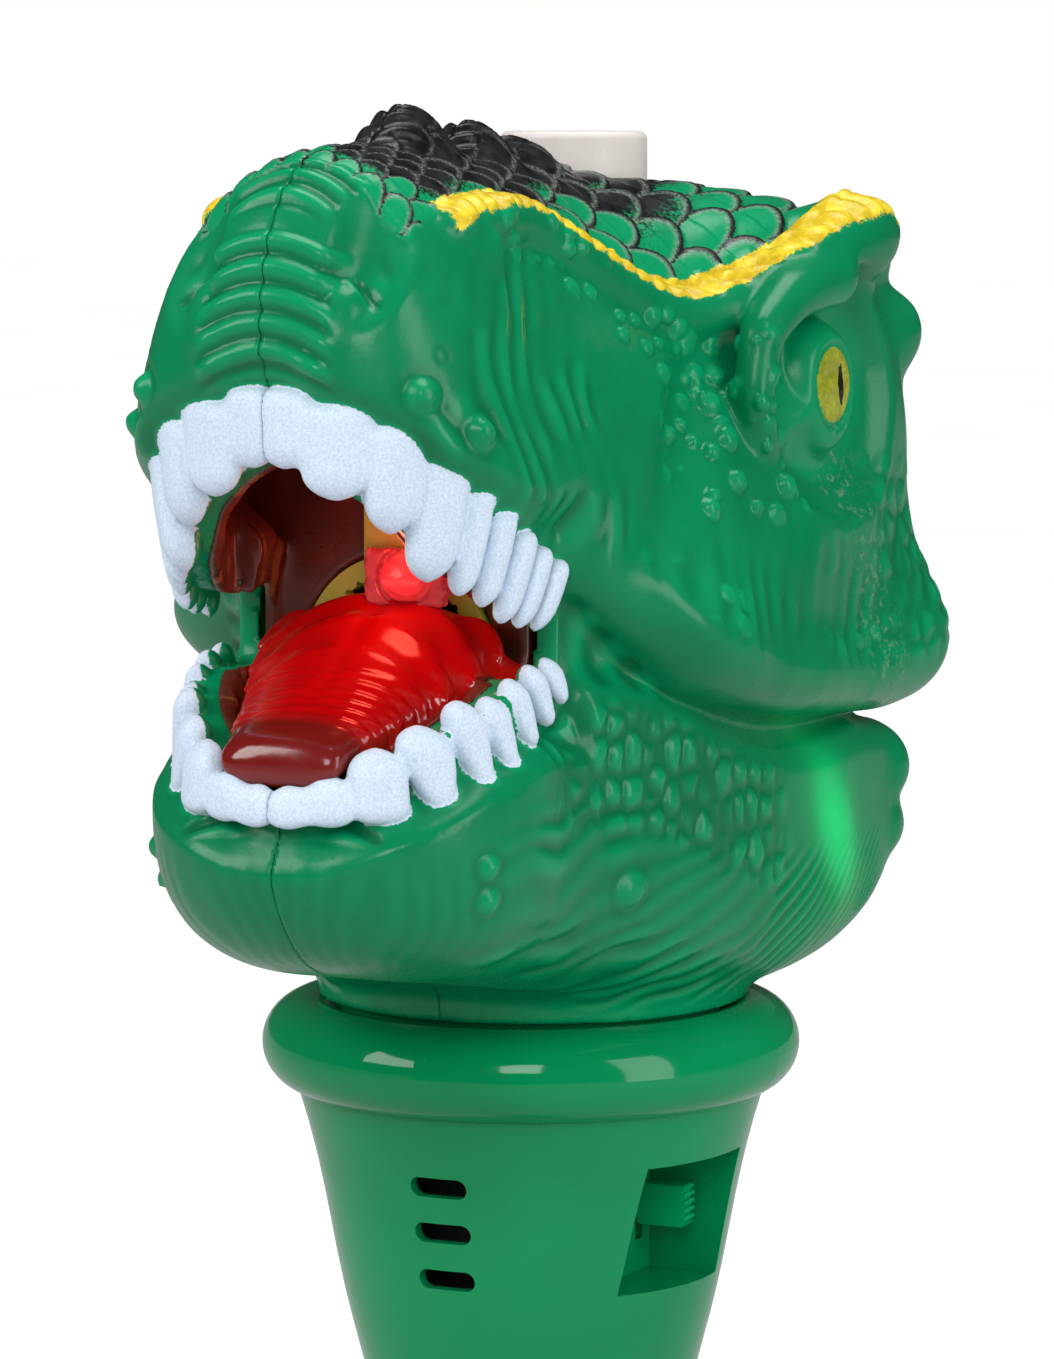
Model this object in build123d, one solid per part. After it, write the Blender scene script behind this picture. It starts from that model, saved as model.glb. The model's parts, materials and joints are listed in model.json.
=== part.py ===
"""Hand-held bubble machine: a dinosaur head with an open mouth on a round handle.

Millimetres. The origin is the centre of the handle's flat base and +Z is up. The dinosaur looks
along -Y and its left side is +X. Places along the snout are given as "front", which is -Y.
"""

from build123d import *
from math import acos, cos, pi, radians, sin, tan
import os

os.makedirs("parts", exist_ok=True)

# ---------------------------------------------------------------- driving dimensions
WALL = 2.2  # moulded shell wall
GAP = 0.3  # gap between parts that move past each other
RUN = 0.05  # radial clearance of a shaft in its bore
FAR = 120.0  # reach of a cutting tool that passes right through

# Head: front, half width, lowest z, highest z of each cross-section, from nose to nape.
HEAD_SECTIONS = [
    (89.5, 8, 217, 299),
    (88, 15, 208, 303),
    (84.5, 23, 202, 309),
    (78, 29, 199, 314.5),
    (70, 32, 197.5, 317),
    (58, 35, 196, 318),
    (45, 40, 194, 319),
    (30, 46, 192, 319),
    (10, 49.5, 189, 317),
    (-15, 50, 186.5, 312),
    (-35, 48, 188, 306),
    (-48, 40, 194, 297),
    (-56, 28, 208, 285),
    (-60, 16, 228, 270),
]
HEAD_CORNER = 0.72  # corner radius of a section over its half width
CREST = [(45, 311.9, 12.0), (25, 309.6, 11.5), (6, 307.0, 12.5)]  # front, z, radius of each hump
BROW_TIP = (40, -24, 297.5, 8.5)  # x, front, z, radius of the knob at the brow's rear end
EYE = (42.5, -14.7, 280.6, 9.0)  # x, front, z, radius of the eyeball bulge
CHEEK = (37, 14, 246, 13.5)  # x, front, z, radius of the jaw muscle bulge
NECK_R = 33.0
NECK_Z = 185.5

# Mouth: side outline of the open gape, from the upper lip round the corner to the lower lip.
GAPE = [
    (100, 284),
    (89, 283),
    (84, 273),
    (75, 264),
    (60, 256.5),
    (49, 251.5),
    (46.4, 247),
    (49, 242.5),
    (64, 238),
    (72, 232),
    (79, 226),
    (88, 223.5),
    (100, 223.5),
]
# Teeth of one side: root x, front, z; tip x, front, z; width.
UPPER_TEETH = [
    (5, 88, 286, 5, 88.5, 272.5, 10),
    (14, 86.6, 284, 14, 86.8, 266, 10.5),
    (21.6, 83.6, 279, 21.3, 85.2, 258, 9.5),
    (26.6, 79.5, 273, 26.6, 80.5, 254, 7.5),
    (29.4, 74.3, 268, 29.4, 75, 251.5, 6.5),
    (31.2, 69, 264, 31, 69.5, 250, 6),
    (32.4, 64, 261, 32, 64.5, 249.5, 5.5),
    (33.2, 59.3, 258.5, 32.8, 59.6, 249.3, 5),
]
LOWER_TEETH = [
    (4.6, 87.6, 220, 4.6, 88, 228, 9),
    (13, 86.2, 221, 13, 86.4, 231.5, 9),
    (20.4, 83, 222, 20, 83.8, 236.5, 8),
    (25.6, 78.6, 223.5, 25.4, 79.3, 240, 7),
    (28.8, 73.5, 228, 28.6, 74, 242.5, 6.5),
    (30.8, 68.3, 232, 30.6, 68.8, 244.5, 6),
    (32.2, 63.2, 235.5, 32, 63.6, 245.5, 5.5),
]
TOOTH_THICK = 4.2

# Lining of the mouth and the tongue on its floor.
LINER_INSET = 4.4
LINER_FRONT = 83.4
LINER_WALL = 1.6
TONGUE_SECTIONS = [  # front, half width, half thickness, z of each cross-section
    (50, 22, 5.5, 243.6),
    (62, 21, 5.2, 239),
    (75, 16, 4.8, 233.5),
    (81, 12, 4.2, 231.8),
    (84, 8, 3, 231.5),
]
VENT_X = (-9, 0, 9)  # air slots in the nape
VENT_W = 3.0
VENT_Z = (222, 238)

# Handle: radius and z of its outline from the base up to the collar.
HANDLE_OUTLINE = [
    (25.0, 3.0),
    (23.6, 30),
    (22.2, 60),
    (21.5, 88),
    (24.2, 118),
    (29.2, 138.2),
    (32.9, 156.9),
    (36.6, 171),
]
BASE_R = 23.5
COLLAR_R = 34.9
COLLAR_TUBE = 7.2
COLLAR_Z = 178.0
SPIGOT_R = 30.5
SPIGOT_TOP = 192.0
SOUND_SLOTS = [160.0, 152.7, 145.2]  # z of each
SLOT_W = 9.4
SLOT_H = 3.1
SPEAKER_Z = 152.7
SPEAKER_R = 13.5
CONE_R = 11.5

# Switch pocket in the left side of the handle.
POCKET_X = 18.6
POCKET_FRONT = (-4.0, 19.0)
POCKET_Z = (142.6, 162.7)
KNOB_Z = 153.6
KNOB_H = 6.5
KNOB_T = 3.8
KNOB_X = 27.2
KNOB_TRAVEL = 4.0

# Filler.
CAP_FRONT = -16.0
CAP_R = 11.5
CAP_Z = (311.6, 319.5)
NECK_FILL_R = 9.0
CAP_HOLE_GAP = 0.7
TANK_X = 27.0
TANK_FRONT = (-34.0, 8.0)
TANK_Z = (272.0, 296.0)
TANK_WALL = 1.6
TANK_CORNER = 4.0

# Bubble ring, air duct and drive, all on one axis along the snout.
AXIS_Z = 242.0
RING_R = 15.5
RING_HOLE = 12.4
RING_FRONT = (44.2, 47.0)
DUCT_R = 15.3
DUCT_FRONT = (15.0, 44.0)
SHAFT_R = 2.0
SHAFT_FRONT = (-24.5, 48.9)
MODULE = 0.75
TEETH_BIG = 32
TEETH_SMALL = 10
PRESSURE = radians(20)
BACKLASH = 0.09
CENTRES = MODULE * (TEETH_BIG + TEETH_SMALL) / 2
BIG_TIP = MODULE * TEETH_BIG / 2 + 0.45
SMALL_TIP = MODULE * TEETH_SMALL / 2 + MODULE
BIG_ROOT = CENTRES - SMALL_TIP - 0.2
SMALL_ROOT = CENTRES - BIG_TIP - 0.3
MESH_ANGLES = [-60, 20, 75]  # direction from each gear axis to the next, degrees
GEAR_T = 3.6
STAGE_FRONT = [3.2, -1.2, -5.6]  # rear face of the three gear planes
AXLE_R = 1.5
CASE_FRONT = (-8.0, 12.0)
CASE_WALL = 1.6
CASE_BOX = (-15.0, 38.0, 214.2, 258.0)  # x low, x high, z low, z high
PUMP_FRONT = (-23.6, -8.2)
PUMP_R = 15.5
RACE_R = 12.95
TUBE_R = 1.5
TUBE_ARC = 11.35  # radius of the tube's run round the rotor
TUBE_FRONT = -16.0
TUBE_TOP_Z = 265.5
OUTLET_FRONT = 38.0  # where the tube feeds the duct
ROLLER_R = 3.0
ROLLER_PLACE_R = 6.4

# Blower, on a vertical axis.
BLOWER_FRONT = -6.0
BLOWER_R = 25.0
BLOWER_Z = (196.4, 212.4)
BLOWER_THROAT_X = (-11.0, 16.0)
BLOWER_THROAT_FRONT = 35.0
IMPELLER_R = 19.5
BLADES = 12
MOTOR_R = 10.0
MOTOR_L = 25.0
MOTOR_FLAT = 7.6  # half the distance between a motor's flats
MOTOR_SHAFT_R = 1.0

# Batteries: three AA cells in a triangle.
CELL_R = 7.1
CELL_L = 50.5
CELL_Z = 11.0
CELL_PITCH_R = 8.6
CELL_TIP = 1.2
HOLDER_R = 17.8
DOOR_X = 13.0
DOOR_Z = (8.0, 70.0)
DOOR_SCREW_Z = 64.0
DOOR_SCREW_HEAD = (-21.8, -19.6)  # front of the head's outer end and of its seat

# Screws that pull the halves together: front, z.
HEAD_SCREWS = [(72, 303), (29, 303), (-50, 250), (-43, 214), (70, 207), (41, 203)]
HANDLE_SCREWS = [(12, 76), (12, 112), (-22, 148)]
SCREW_R = 1.5
SCREW_HEAD_R = 2.7
BOSS_R = 4.4

# Lamps and wires.
LENS_X = (-3.2, 11.2)
LENS_FRONT = (49.3, 53.6)
LENS_Z = (250.4, 261.2)
LENS_PLACE = ((LENS_X[0] + LENS_X[1]) / 2, (LENS_Z[0] + LENS_Z[1]) / 2)
LED_R = 2.5
GLOW_FRONT = -19.0
GLOW_Z = 212.0
GLOW_X = (31.6, 33.0, 40.0)  # inner face of the board, foot and tip of the lamp
WIRE_R = 0.75


# ---------------------------------------------------------------- helpers
def across(front):
    """Plane of a cross-section at this front, drawn in x and z, facing forwards."""
    return Plane(origin=(0, -front, 0), x_dir=(1, 0, 0), z_dir=(0, -1, 0))


def slab(outline, half=FAR):
    """Side outline in (front, z), carried from one side of the object to the other."""
    face = make_face(Polyline(*outline, close=True))
    plane = Plane(origin=(half, 0, 0), x_dir=(0, -1, 0), z_dir=(-1, 0, 0))
    return extrude(plane * face, amount=2 * half)


def block(x, front, z):
    """Box between two values of x, of front and of z."""
    size = (x[1] - x[0], front[1] - front[0], z[1] - z[0])
    centre = ((x[0] + x[1]) / 2, -(front[0] + front[1]) / 2, (z[0] + z[1]) / 2)
    return Pos(*centre) * Box(*size)


def rod_front(radius, front, x=0.0, z=AXIS_Z):
    """Cylinder along the snout between two values of front."""
    disc = Pos(x, z) * Circle(radius)
    return extrude(across(front[0]) * disc, amount=front[1] - front[0])


def rod_up(radius, z, x=0.0, front=0.0):
    """Upright cylinder between two heights."""
    return Pos(x, -front, (z[0] + z[1]) / 2) * Cylinder(radius, z[1] - z[0])


def rod_side(radius, x, front, z):
    """Cylinder across the object between two values of x."""
    return Pos((x[0] + x[1]) / 2, -front, z) * Rot(0, 90, 0) * Cylinder(radius, x[1] - x[0])


def ball(x, front, z, radius):
    return Pos(x, -front, z) * Sphere(radius)


def both_sides(shape):
    return shape + mirror(shape, Plane.YZ)


def tube_path(points, radii):
    """Route of a tube or wire: straight runs joined by tangent arcs."""
    return FilletPolyline(*[(x, -front, z) for x, front, z in points], radius=radii)


def swept(points, radii, radius):
    path = tube_path(points, radii)
    section = Plane(origin=path @ 0, z_dir=path % 0) * Circle(radius)
    return sweep(section, path=path)


def save(shape, name):
    export_step(Compound(children=list(shape.solids())) if len(shape.solids()) > 1 else shape.solids()[0],
                f"parts/{name}.step")


def halves(shape):
    """Left and right parts of a shape split on the parting plane, x = 0."""
    left = shape & Pos(FAR, 0, 170) * Box(2 * FAR, 2 * FAR, 400)
    right = shape & Pos(-FAR, 0, 170) * Box(2 * FAR, 2 * FAR, 400)
    return left, right


# ---------------------------------------------------------------- head
def head_solid(inset):
    """The head without its gape, shrunk by inset."""
    first, last = HEAD_SECTIONS[0][0], HEAD_SECTIONS[-1][0]
    middle = (first + last) / 2
    shrink = 1 - 2 * inset / (first - last)
    faces = []
    for front, half, low, high in HEAD_SECTIONS:
        width = half - inset
        place = middle + (front - middle) * shrink
        outline = RectangleRounded(2 * width, high - low - 2 * inset, HEAD_CORNER * width)
        faces.append(across(place) * Pos(0, (low + high) / 2) * outline)
    return loft(faces)


def tooth(root_x, root_front, root_z, tip_x, tip_front, tip_z, width):
    root = Vector(root_x, -root_front, root_z)
    tip = Vector(tip_x, -tip_front, tip_z)
    row = Vector(1, (root_x / 34) ** 3 * 3.5, 0)  # direction of the row of teeth at this tooth
    faces = []
    for along, size in ((0, 1.0), (0.55, 0.92), (0.9, 0.6), (1.0, 0.3)):
        centre = root + (tip - root) * along
        plane = Plane(origin=centre, x_dir=row, z_dir=tip - root)
        faces.append(plane * Ellipse(width / 2 * size, TOOTH_THICK / 2 * size))
    return loft(faces)


def head_shells():
    outer = head_solid(0)
    bumps = [ball(0, *hump) for hump in CREST]
    for x, front, z, radius in (BROW_TIP, EYE, CHEEK):
        bumps += [ball(x, front, z, radius), ball(-x, front, z, radius)]
    for bump in bumps:
        outer += bump
    outer += rod_up(NECK_R, (NECK_Z, 215))
    inner = head_solid(WALL)
    for x, front, z, radius in (EYE, CHEEK):
        inner += ball(x, front, z, radius - WALL)
        inner += ball(-x, front, z, radius - WALL)
    inner += rod_up(NECK_R - WALL, (NECK_Z - 5, 214))
    shell = outer - inner - slab(GAPE)
    shell -= rod_up(CAP_R + CAP_HOLE_GAP, (TANK_Z[1], FAR + TANK_Z[1]), front=CAP_FRONT)
    for x in VENT_X:
        shell -= block((x - VENT_W / 2, x + VENT_W / 2), (-FAR, -50), VENT_Z)
    core = head_solid(WALL / 2)
    post = block((GLOW_X[0], FAR), (GLOW_FRONT - 2, GLOW_FRONT + 2), (GLOW_Z - 6.2, GLOW_Z - 4.2))
    shell += both_sides(post) & core
    left, right = halves(shell)
    for front, z in HEAD_SCREWS:
        left += rod_side(BOSS_R - 1, (0, 60), front, z) & core
        left -= rod_side(SCREW_R + RUN, (-1, 12), front, z)
        right += rod_side(BOSS_R, (-60, 0), front, z) & core
        right -= rod_side(SCREW_R + 0.2, (-30, 1), front, z)
        right -= rod_side(SCREW_HEAD_R + 0.3, (-70, -10), front, z)
    for row, up in ((UPPER_TEETH, True), (LOWER_TEETH, False)):
        for place in row:
            piece = tooth(*place)
            left += piece & Pos(FAR, 0, 170) * Box(2 * FAR, 2 * FAR, 400)
            right += mirror(piece, Plane.YZ) & Pos(-FAR, 0, 170) * Box(2 * FAR, 2 * FAR, 400)
    return left, right


def mouth_liner():
    """Palate, floor and back panel of the mouth, moulded in one."""
    outside = [(44.5, 220), (44.5, 273), (62, 280), (LINER_FRONT, 289), (LINER_FRONT, 217), (80, 217)]
    inside = [(46, 221.6), (46, 271.6), (62.5, 278.3), (84, 287), (110, 287), (110, 218.6), (80, 218.6)]
    liner = head_solid(LINER_INSET) & slab(outside)
    liner -= head_solid(LINER_INSET + LINER_WALL) & slab(inside)
    liner -= slab(GAPE)
    return liner - rod_front(RING_R + 0.3, (40, 60))


def tongue():
    faces = []
    for front, half, thick, z in TONGUE_SECTIONS:
        faces.append(across(front) * Pos(0, z) * Ellipse(half, thick))
    post = slab([(60, 220.4), (70, 219.55), (70, 236), (60, 238)], half=6)
    return loft(faces) + post


# ---------------------------------------------------------------- handle
def handle_round(inset):
    """Solid of revolution of the handle and collar, shrunk by inset."""
    outline = [(r - inset, z) for r, z in HANDLE_OUTLINE]
    base = (0, inset)
    foot = (BASE_R - inset, inset)
    top_z = SPIGOT_TOP if inset == 0 else SPIGOT_TOP + 5
    spigot = SPIGOT_R - inset
    edges = Polyline(base, foot, outline[0] if inset == 0 else (outline[0][0], inset + 2.0))
    start = edges @ 1
    points = [(start.X, start.Y)] + outline[1:]
    side = Spline(*points)
    end = side @ 1
    rest = Polyline((end.X, end.Y), (spigot, COLLAR_Z - 4), (spigot, top_z), (0, top_z), base)
    body = revolve(Plane.XZ * make_face([*edges.edges(), *side.edges(), *rest.edges()]), axis=Axis.Z)
    ring = Pos(0, 0, COLLAR_Z) * Torus(COLLAR_R, COLLAR_TUBE - inset)
    return body + ring


def handle_shells():
    outer = handle_round(0)
    inner = handle_round(WALL)
    shell = outer - inner
    for z in SOUND_SLOTS:
        slot = across(20) * Pos(0, z) * SlotOverall(SLOT_W, SLOT_H)
        shell -= extrude(slot, amount=25)
    shell -= block((-DOOR_X, DOOR_X), (-40, -10), DOOR_Z)
    left, right = halves(shell)
    low, high = POCKET_Z
    back, front = POCKET_FRONT
    walls = block((POCKET_X - 1.6, 50), (back - 1.6, front + 1.6), (low - 1.6, high + 1.6))
    left += walls & handle_round(0.01)
    left -= block((POCKET_X, 60), POCKET_FRONT, POCKET_Z)
    reach = KNOB_TRAVEL + 2
    left -= block((POCKET_X - 3, POCKET_X + 1), (-1.25, 1.25), (KNOB_Z - reach, KNOB_Z + reach))
    core = handle_round(WALL / 2)
    for front, z in HANDLE_SCREWS:
        left += rod_side(BOSS_R - 1, (0, 40), front, z) & core
        left -= rod_side(SCREW_R + RUN, (-1, 12), front, z)
        right += rod_side(BOSS_R, (-40, 0), front, z) & core
        right -= rod_side(SCREW_R + 0.2, (-30, 1), front, z)
        right -= rod_side(SCREW_HEAD_R + 0.3, (-70, -10), front, z)
    return left, right


def battery_door():
    shell = handle_round(0) - handle_round(WALL)
    low, high = DOOR_Z
    door = shell & block((-DOOR_X + GAP, DOOR_X - GAP), (-40, -10), (low + GAP, high - GAP))
    door += rod_front(BOSS_R - 0.2, (-21.0, -18.0), z=DOOR_SCREW_Z)
    return door - rod_front(SCREW_R + 0.2, (-40, -10), z=DOOR_SCREW_Z) - door_screw_head(GAP)


def door_screw_head(extra):
    low, high = DOOR_SCREW_HEAD
    return rod_front(SCREW_HEAD_R + extra, (low - extra, high), z=DOOR_SCREW_Z)


def door_screw():
    return door_screw_head(0) + rod_front(SCREW_R - RUN, (DOOR_SCREW_HEAD[1], -12.5), z=DOOR_SCREW_Z)


def cell_places():
    for angle in (-90, 30, 150):
        yield CELL_PITCH_R * cos(radians(angle)), -CELL_PITCH_R * sin(radians(angle))


def battery_cells():
    cells = []
    for x, front in cell_places():
        can = rod_up(CELL_R, (CELL_Z, CELL_Z + CELL_L), x, front)
        can = fillet(can.edges(), 0.6)
        cells.append(can + rod_up(2.7, (CELL_Z + CELL_L - 1, CELL_Z + CELL_L + CELL_TIP), x, front))
    return Compound(children=cells)


def battery_contacts():
    pieces = []
    top = CELL_Z + CELL_L + CELL_TIP
    for x, front in cell_places():
        plate = rod_up(5.5, (CELL_Z - 2.0, CELL_Z - 1.6), x, front)
        coil = rod_up(3.2, (CELL_Z - 1.6, CELL_Z), x, front) - rod_up(2.2, (CELL_Z - 1.6, CELL_Z), x, front)
        pieces += [plate + coil, rod_up(5.5, (top, top + 0.4), x, front)]
    return Compound(children=pieces)


def battery_holder():
    low, high = CELL_Z - 4.0, CELL_Z + CELL_L + 3.8
    floor = rod_up(HOLDER_R, (low, CELL_Z - 2.0))
    roof = rod_up(HOLDER_R, (high - 2.2, high))
    spine = block((-4, 4), (CELL_PITCH_R + CELL_R + 0.4, HOLDER_R), (low, high))
    anchor = block((-3.6, 3.6), (-17.5, -12.2), (high - 5, high + 2))
    bore = rod_front(SCREW_R, (-18, -12.3), z=DOOR_SCREW_Z)
    return floor + (roof + spine & rod_up(HOLDER_R, (low, high))) + anchor - bore


# ---------------------------------------------------------------- switch, board, speaker
def switch_knob():
    x = (POCKET_X + 0.4, KNOB_X)
    grip = block(x, (-KNOB_T / 2, KNOB_T / 2), (KNOB_Z - KNOB_H / 2, KNOB_Z + KNOB_H / 2))
    grip = fillet(grip.edges().filter_by(Axis.Y), 0.8)
    for step in (-2, -1, 0, 1, 2):
        z = KNOB_Z + step * 1.2
        grip -= block((KNOB_X - 0.5, KNOB_X + 1), (-5, 5), (z - 0.3, z + 0.3))
    stem = block((13.5, POCKET_X + 0.6), (-0.9, 0.9), (KNOB_Z - 1.6, KNOB_Z + 1.6))
    return grip + stem


def slide_switch():
    body = block((8.6, 16.6), (-3.6, 3.6), (KNOB_Z - 7.4, KNOB_Z + 7.4))
    reach = KNOB_TRAVEL + 2
    return body - block((13.0, 18), (-1.2, 1.2), (KNOB_Z - reach, KNOB_Z + reach))


def control_board():
    board = block((7.0, 8.6), (-11, 12), (128, 163))
    chip = block((8.6, 10.4), (2, 8), (134, 141))
    cap = rod_side(2.5, (8.6, 14), -6, 135)
    return board + chip + cap


def speaker():
    frame = rod_front(SPEAKER_R, (18.6, 21.6), z=SPEAKER_Z) - rod_front(CONE_R, (19.8, 22), z=SPEAKER_Z)
    cone = rod_front(CONE_R, (19.8, 20.4), z=SPEAKER_Z) + rod_front(4, (20.4, 21.2), z=SPEAKER_Z)
    return frame + cone + rod_front(7.5, (14.6, 18.6), z=SPEAKER_Z)


# ---------------------------------------------------------------- filler and tank
def solution_tank():
    tank = fillet(block((-TANK_X, TANK_X), TANK_FRONT, TANK_Z).edges(), TANK_CORNER)
    inside = block((-TANK_X + TANK_WALL, TANK_X - TANK_WALL),
                   (TANK_FRONT[0] + TANK_WALL, TANK_FRONT[1] - TANK_WALL),
                   (TANK_Z[0] + TANK_WALL, TANK_Z[1] - TANK_WALL))
    tank -= fillet(inside.edges(), TANK_CORNER - 1.4)
    neck = rod_up(NECK_FILL_R, (TANK_Z[1] - 1, 314.5), front=CAP_FRONT)
    for z in (312.5, 313.8):
        neck += Pos(0, -CAP_FRONT, z) * Torus(NECK_FILL_R - 0.1, 0.45)
    spout = rod_up(2.4, (TANK_Z[0] - 4, TANK_Z[0] + 1), -TUBE_ARC, TUBE_FRONT)
    tank = tank + neck + spout - rod_up(NECK_FILL_R - TANK_WALL, (TANK_Z[1] - 3, 320), front=CAP_FRONT)
    return tank - rod_up(0.8, (TANK_Z[0] - 5, TANK_Z[0] + 3), -TUBE_ARC, TUBE_FRONT)


def filler_cap():
    low, high = CAP_Z
    cap = rod_up(CAP_R, (low, high), front=CAP_FRONT)
    cap = fillet(cap.edges().group_by(Axis.Z)[-1], 1.2)
    return cap - rod_up(NECK_FILL_R + 0.8, (low - 1, high - 2), front=CAP_FRONT)


# ---------------------------------------------------------------- gears
def wheel(teeth, tip_r, root_r, tooth_angle):
    """Outline of a spur gear with one tooth centred on tooth_angle, in degrees."""
    pitch_r = MODULE * teeth / 2
    base_r = pitch_r * cos(PRESSURE)
    half = pi / (2 * teeth) - BACKLASH / pitch_r
    points = []
    for step in range(teeth):
        centre = radians(tooth_angle) + 2 * pi * step / teeth
        flank = []
        for share in (0, 0.25, 0.5, 0.75, 1):
            start = max(base_r, root_r)
            radius = start + (tip_r - start) * share
            slope = acos(base_r / radius)
            spread = half + (tan(PRESSURE) - PRESSURE) - (tan(slope) - slope)
            flank.append((radius, spread))
        if root_r < base_r:
            flank.insert(0, (root_r, flank[0][1]))
        for radius, spread in flank:
            points.append((radius * cos(centre - spread), radius * sin(centre - spread)))
        for radius, spread in reversed(flank):
            points.append((radius * cos(centre + spread), radius * sin(centre + spread)))
    return make_face(Polyline(*points, close=True))


def gear_axes():
    """x and z of the output, second idler, first idler and motor axes."""
    places = [(0.0, AXIS_Z)]
    for angle in MESH_ANGLES:
        x, z = places[-1]
        places.append((x + CENTRES * cos(radians(angle)), z + CENTRES * sin(radians(angle))))
    return places


def big_wheel(place, stage, angle):
    front = STAGE_FRONT[stage]
    face = Pos(*place) * wheel(TEETH_BIG, BIG_TIP, BIG_ROOT, angle)
    return extrude(across(front) * face, amount=GEAR_T)


def small_wheel(place, stage, angle, length=GEAR_T):
    """Pinion with a gap facing back along angle, so that it meshes at rest."""
    front = STAGE_FRONT[stage]
    gap_facing = angle + 180 + 180 / TEETH_SMALL
    face = Pos(*place) * wheel(TEETH_SMALL, SMALL_TIP, SMALL_ROOT, gap_facing)
    return extrude(across(front) * face, amount=length)


def gears():
    axes = gear_axes()
    x, z = axes[0]
    output = big_wheel(axes[0], 0, MESH_ANGLES[0])
    output += rod_front(3.0, (STAGE_FRONT[0] - 1, STAGE_FRONT[0] + GEAR_T + 1), x, z)
    output -= rod_front(SHAFT_R, (-30, 30), x, z)
    idlers = []
    for index in (1, 2):
        x, z = axes[index]
        hub = rod_front(SMALL_TIP - 1.5, (STAGE_FRONT[index], STAGE_FRONT[index - 1] + GEAR_T), x, z)
        idler = big_wheel(axes[index], index, MESH_ANGLES[index])
        idler += small_wheel(axes[index], index - 1, MESH_ANGLES[index - 1])
        idler += hub
        idlers.append(idler - rod_front(AXLE_R + RUN, (-30, 30), x, z))
    pinion = small_wheel(axes[3], 2, MESH_ANGLES[2])
    pinion -= rod_front(MOTOR_SHAFT_R, (-30, 30), *axes[3])
    return output, idlers[0], idlers[1], pinion


def idler_axles():
    axles = []
    for x, z in gear_axes()[1:3]:
        axles.append(rod_front(AXLE_R, (CASE_FRONT[0], CASE_FRONT[1] + CASE_WALL), x, z))
    return Compound(children=axles)


def gearbox_case():
    rear, front = CASE_FRONT
    x_low, x_high, z_low, z_high = CASE_BOX
    case = block((x_low, x_high), (rear, front), (z_low, z_high))
    case = fillet(case.edges().filter_by(Axis.Y), 5)
    inside = block((x_low + 1.2, x_high - 1.2), (rear + CASE_WALL, front + 1), (z_low + 1.2, z_high - 1.2))
    case -= fillet(inside.edges().filter_by(Axis.Y), 3.8)
    axes = gear_axes()
    case -= rod_front(SHAFT_R + RUN, (-30, 30), *axes[0])
    case -= rod_front(AXLE_R, (-30, 30), *axes[1])
    case -= rod_front(AXLE_R, (-30, 30), *axes[2])
    return case - rod_front(3.2, (-30, 0), *axes[3])


def gearbox_cover():
    front = CASE_FRONT[1]
    x_low, x_high, z_low, z_high = CASE_BOX
    cover = block((x_low, x_high), (front, front + CASE_WALL), (z_low, z_high))
    cover = fillet(cover.edges().filter_by(Axis.Y), 5)
    axes = gear_axes()
    cover -= rod_front(SHAFT_R + RUN, (0, 30), *axes[0])
    cover -= rod_front(AXLE_R, (0, 30), *axes[1])
    return cover - rod_front(AXLE_R, (0, 30), *axes[2])


def pump_motor():
    x, z = gear_axes()[3]
    rear = CASE_FRONT[0] - MOTOR_L
    can = rod_front(MOTOR_R, (rear, CASE_FRONT[0]), x, z)
    flats = block((x - 20, x + 20), (rear - 1, 0), (z - MOTOR_FLAT, z + MOTOR_FLAT))
    return (can & flats) - rod_front(MOTOR_SHAFT_R + RUN, (CASE_FRONT[0] - 10, 0), x, z)


def pump_motor_shaft():
    x, z = gear_axes()[3]
    return rod_front(MOTOR_SHAFT_R, (CASE_FRONT[0] - 10, STAGE_FRONT[2] + GEAR_T), x, z)


def drive_shaft():
    return rod_front(SHAFT_R, SHAFT_FRONT)


def wiper():
    front = RING_FRONT[1] + GAP
    arm = block((-11.6, 11.6), (front, front + 1.5), (AXIS_Z - 1.3, AXIS_Z + 1.3))
    hub = rod_front(3.0, (front, front + 1.9))
    return arm + hub - rod_front(SHAFT_R, (0, 60))


def bubble_ring():
    low, high = RING_FRONT
    ring = rod_front(RING_R, (low, high)) - rod_front(RING_HOLE, (low - 1, high + 1))
    for step in range(36):
        turn = radians(10 * step)
        place = (RING_HOLE * cos(turn), AXIS_Z + RING_HOLE * sin(turn))
        ring -= rod_front(0.5, (low - 1, high + 1), *place)
    return ring


def air_duct():
    low, high = DUCT_FRONT
    duct = rod_front(DUCT_R, (low, high))
    duct += block((-9, 9), (22, 34), (BLOWER_Z[1] + 1.6, AXIS_Z))
    duct += rod_up(3, (AXIS_Z + DUCT_R - 1, 261), front=OUTLET_FRONT)
    duct -= rod_front(DUCT_R - 1.6, (low + 1.6, high + 1))
    duct -= block((-7.4, 7.4), (23.6, 32.4), (BLOWER_Z[1], AXIS_Z - 5))
    duct -= rod_up(TUBE_R + 0.1, (AXIS_Z + DUCT_R - 1, 262), front=OUTLET_FRONT)
    duct -= rod_up(0.8, (AXIS_Z + 5, 262), front=OUTLET_FRONT)
    return duct - rod_front(SHAFT_R + RUN, (low - 1, low + 3))


def pump_rotor():
    rotor = rod_front(6.0, (-20, -12))
    for step in range(3):
        turn = radians(120 * step + 90)
        place = (ROLLER_PLACE_R * cos(turn), AXIS_Z + ROLLER_PLACE_R * sin(turn))
        rotor += rod_front(ROLLER_R, (-20, -12), *place)
    return rotor - rod_front(SHAFT_R, (-30, 0))


def pump_housing():
    low, high = PUMP_FRONT
    wall = rod_front(PUMP_R, (low, high)) - rod_front(RACE_R, (low + 1.6, high + 1))
    wall -= block((-20, 20), (low + 1.6, high + 1), (AXIS_Z, AXIS_Z + 20))
    return wall - rod_front(SHAFT_R + RUN, (-30, 0))


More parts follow.
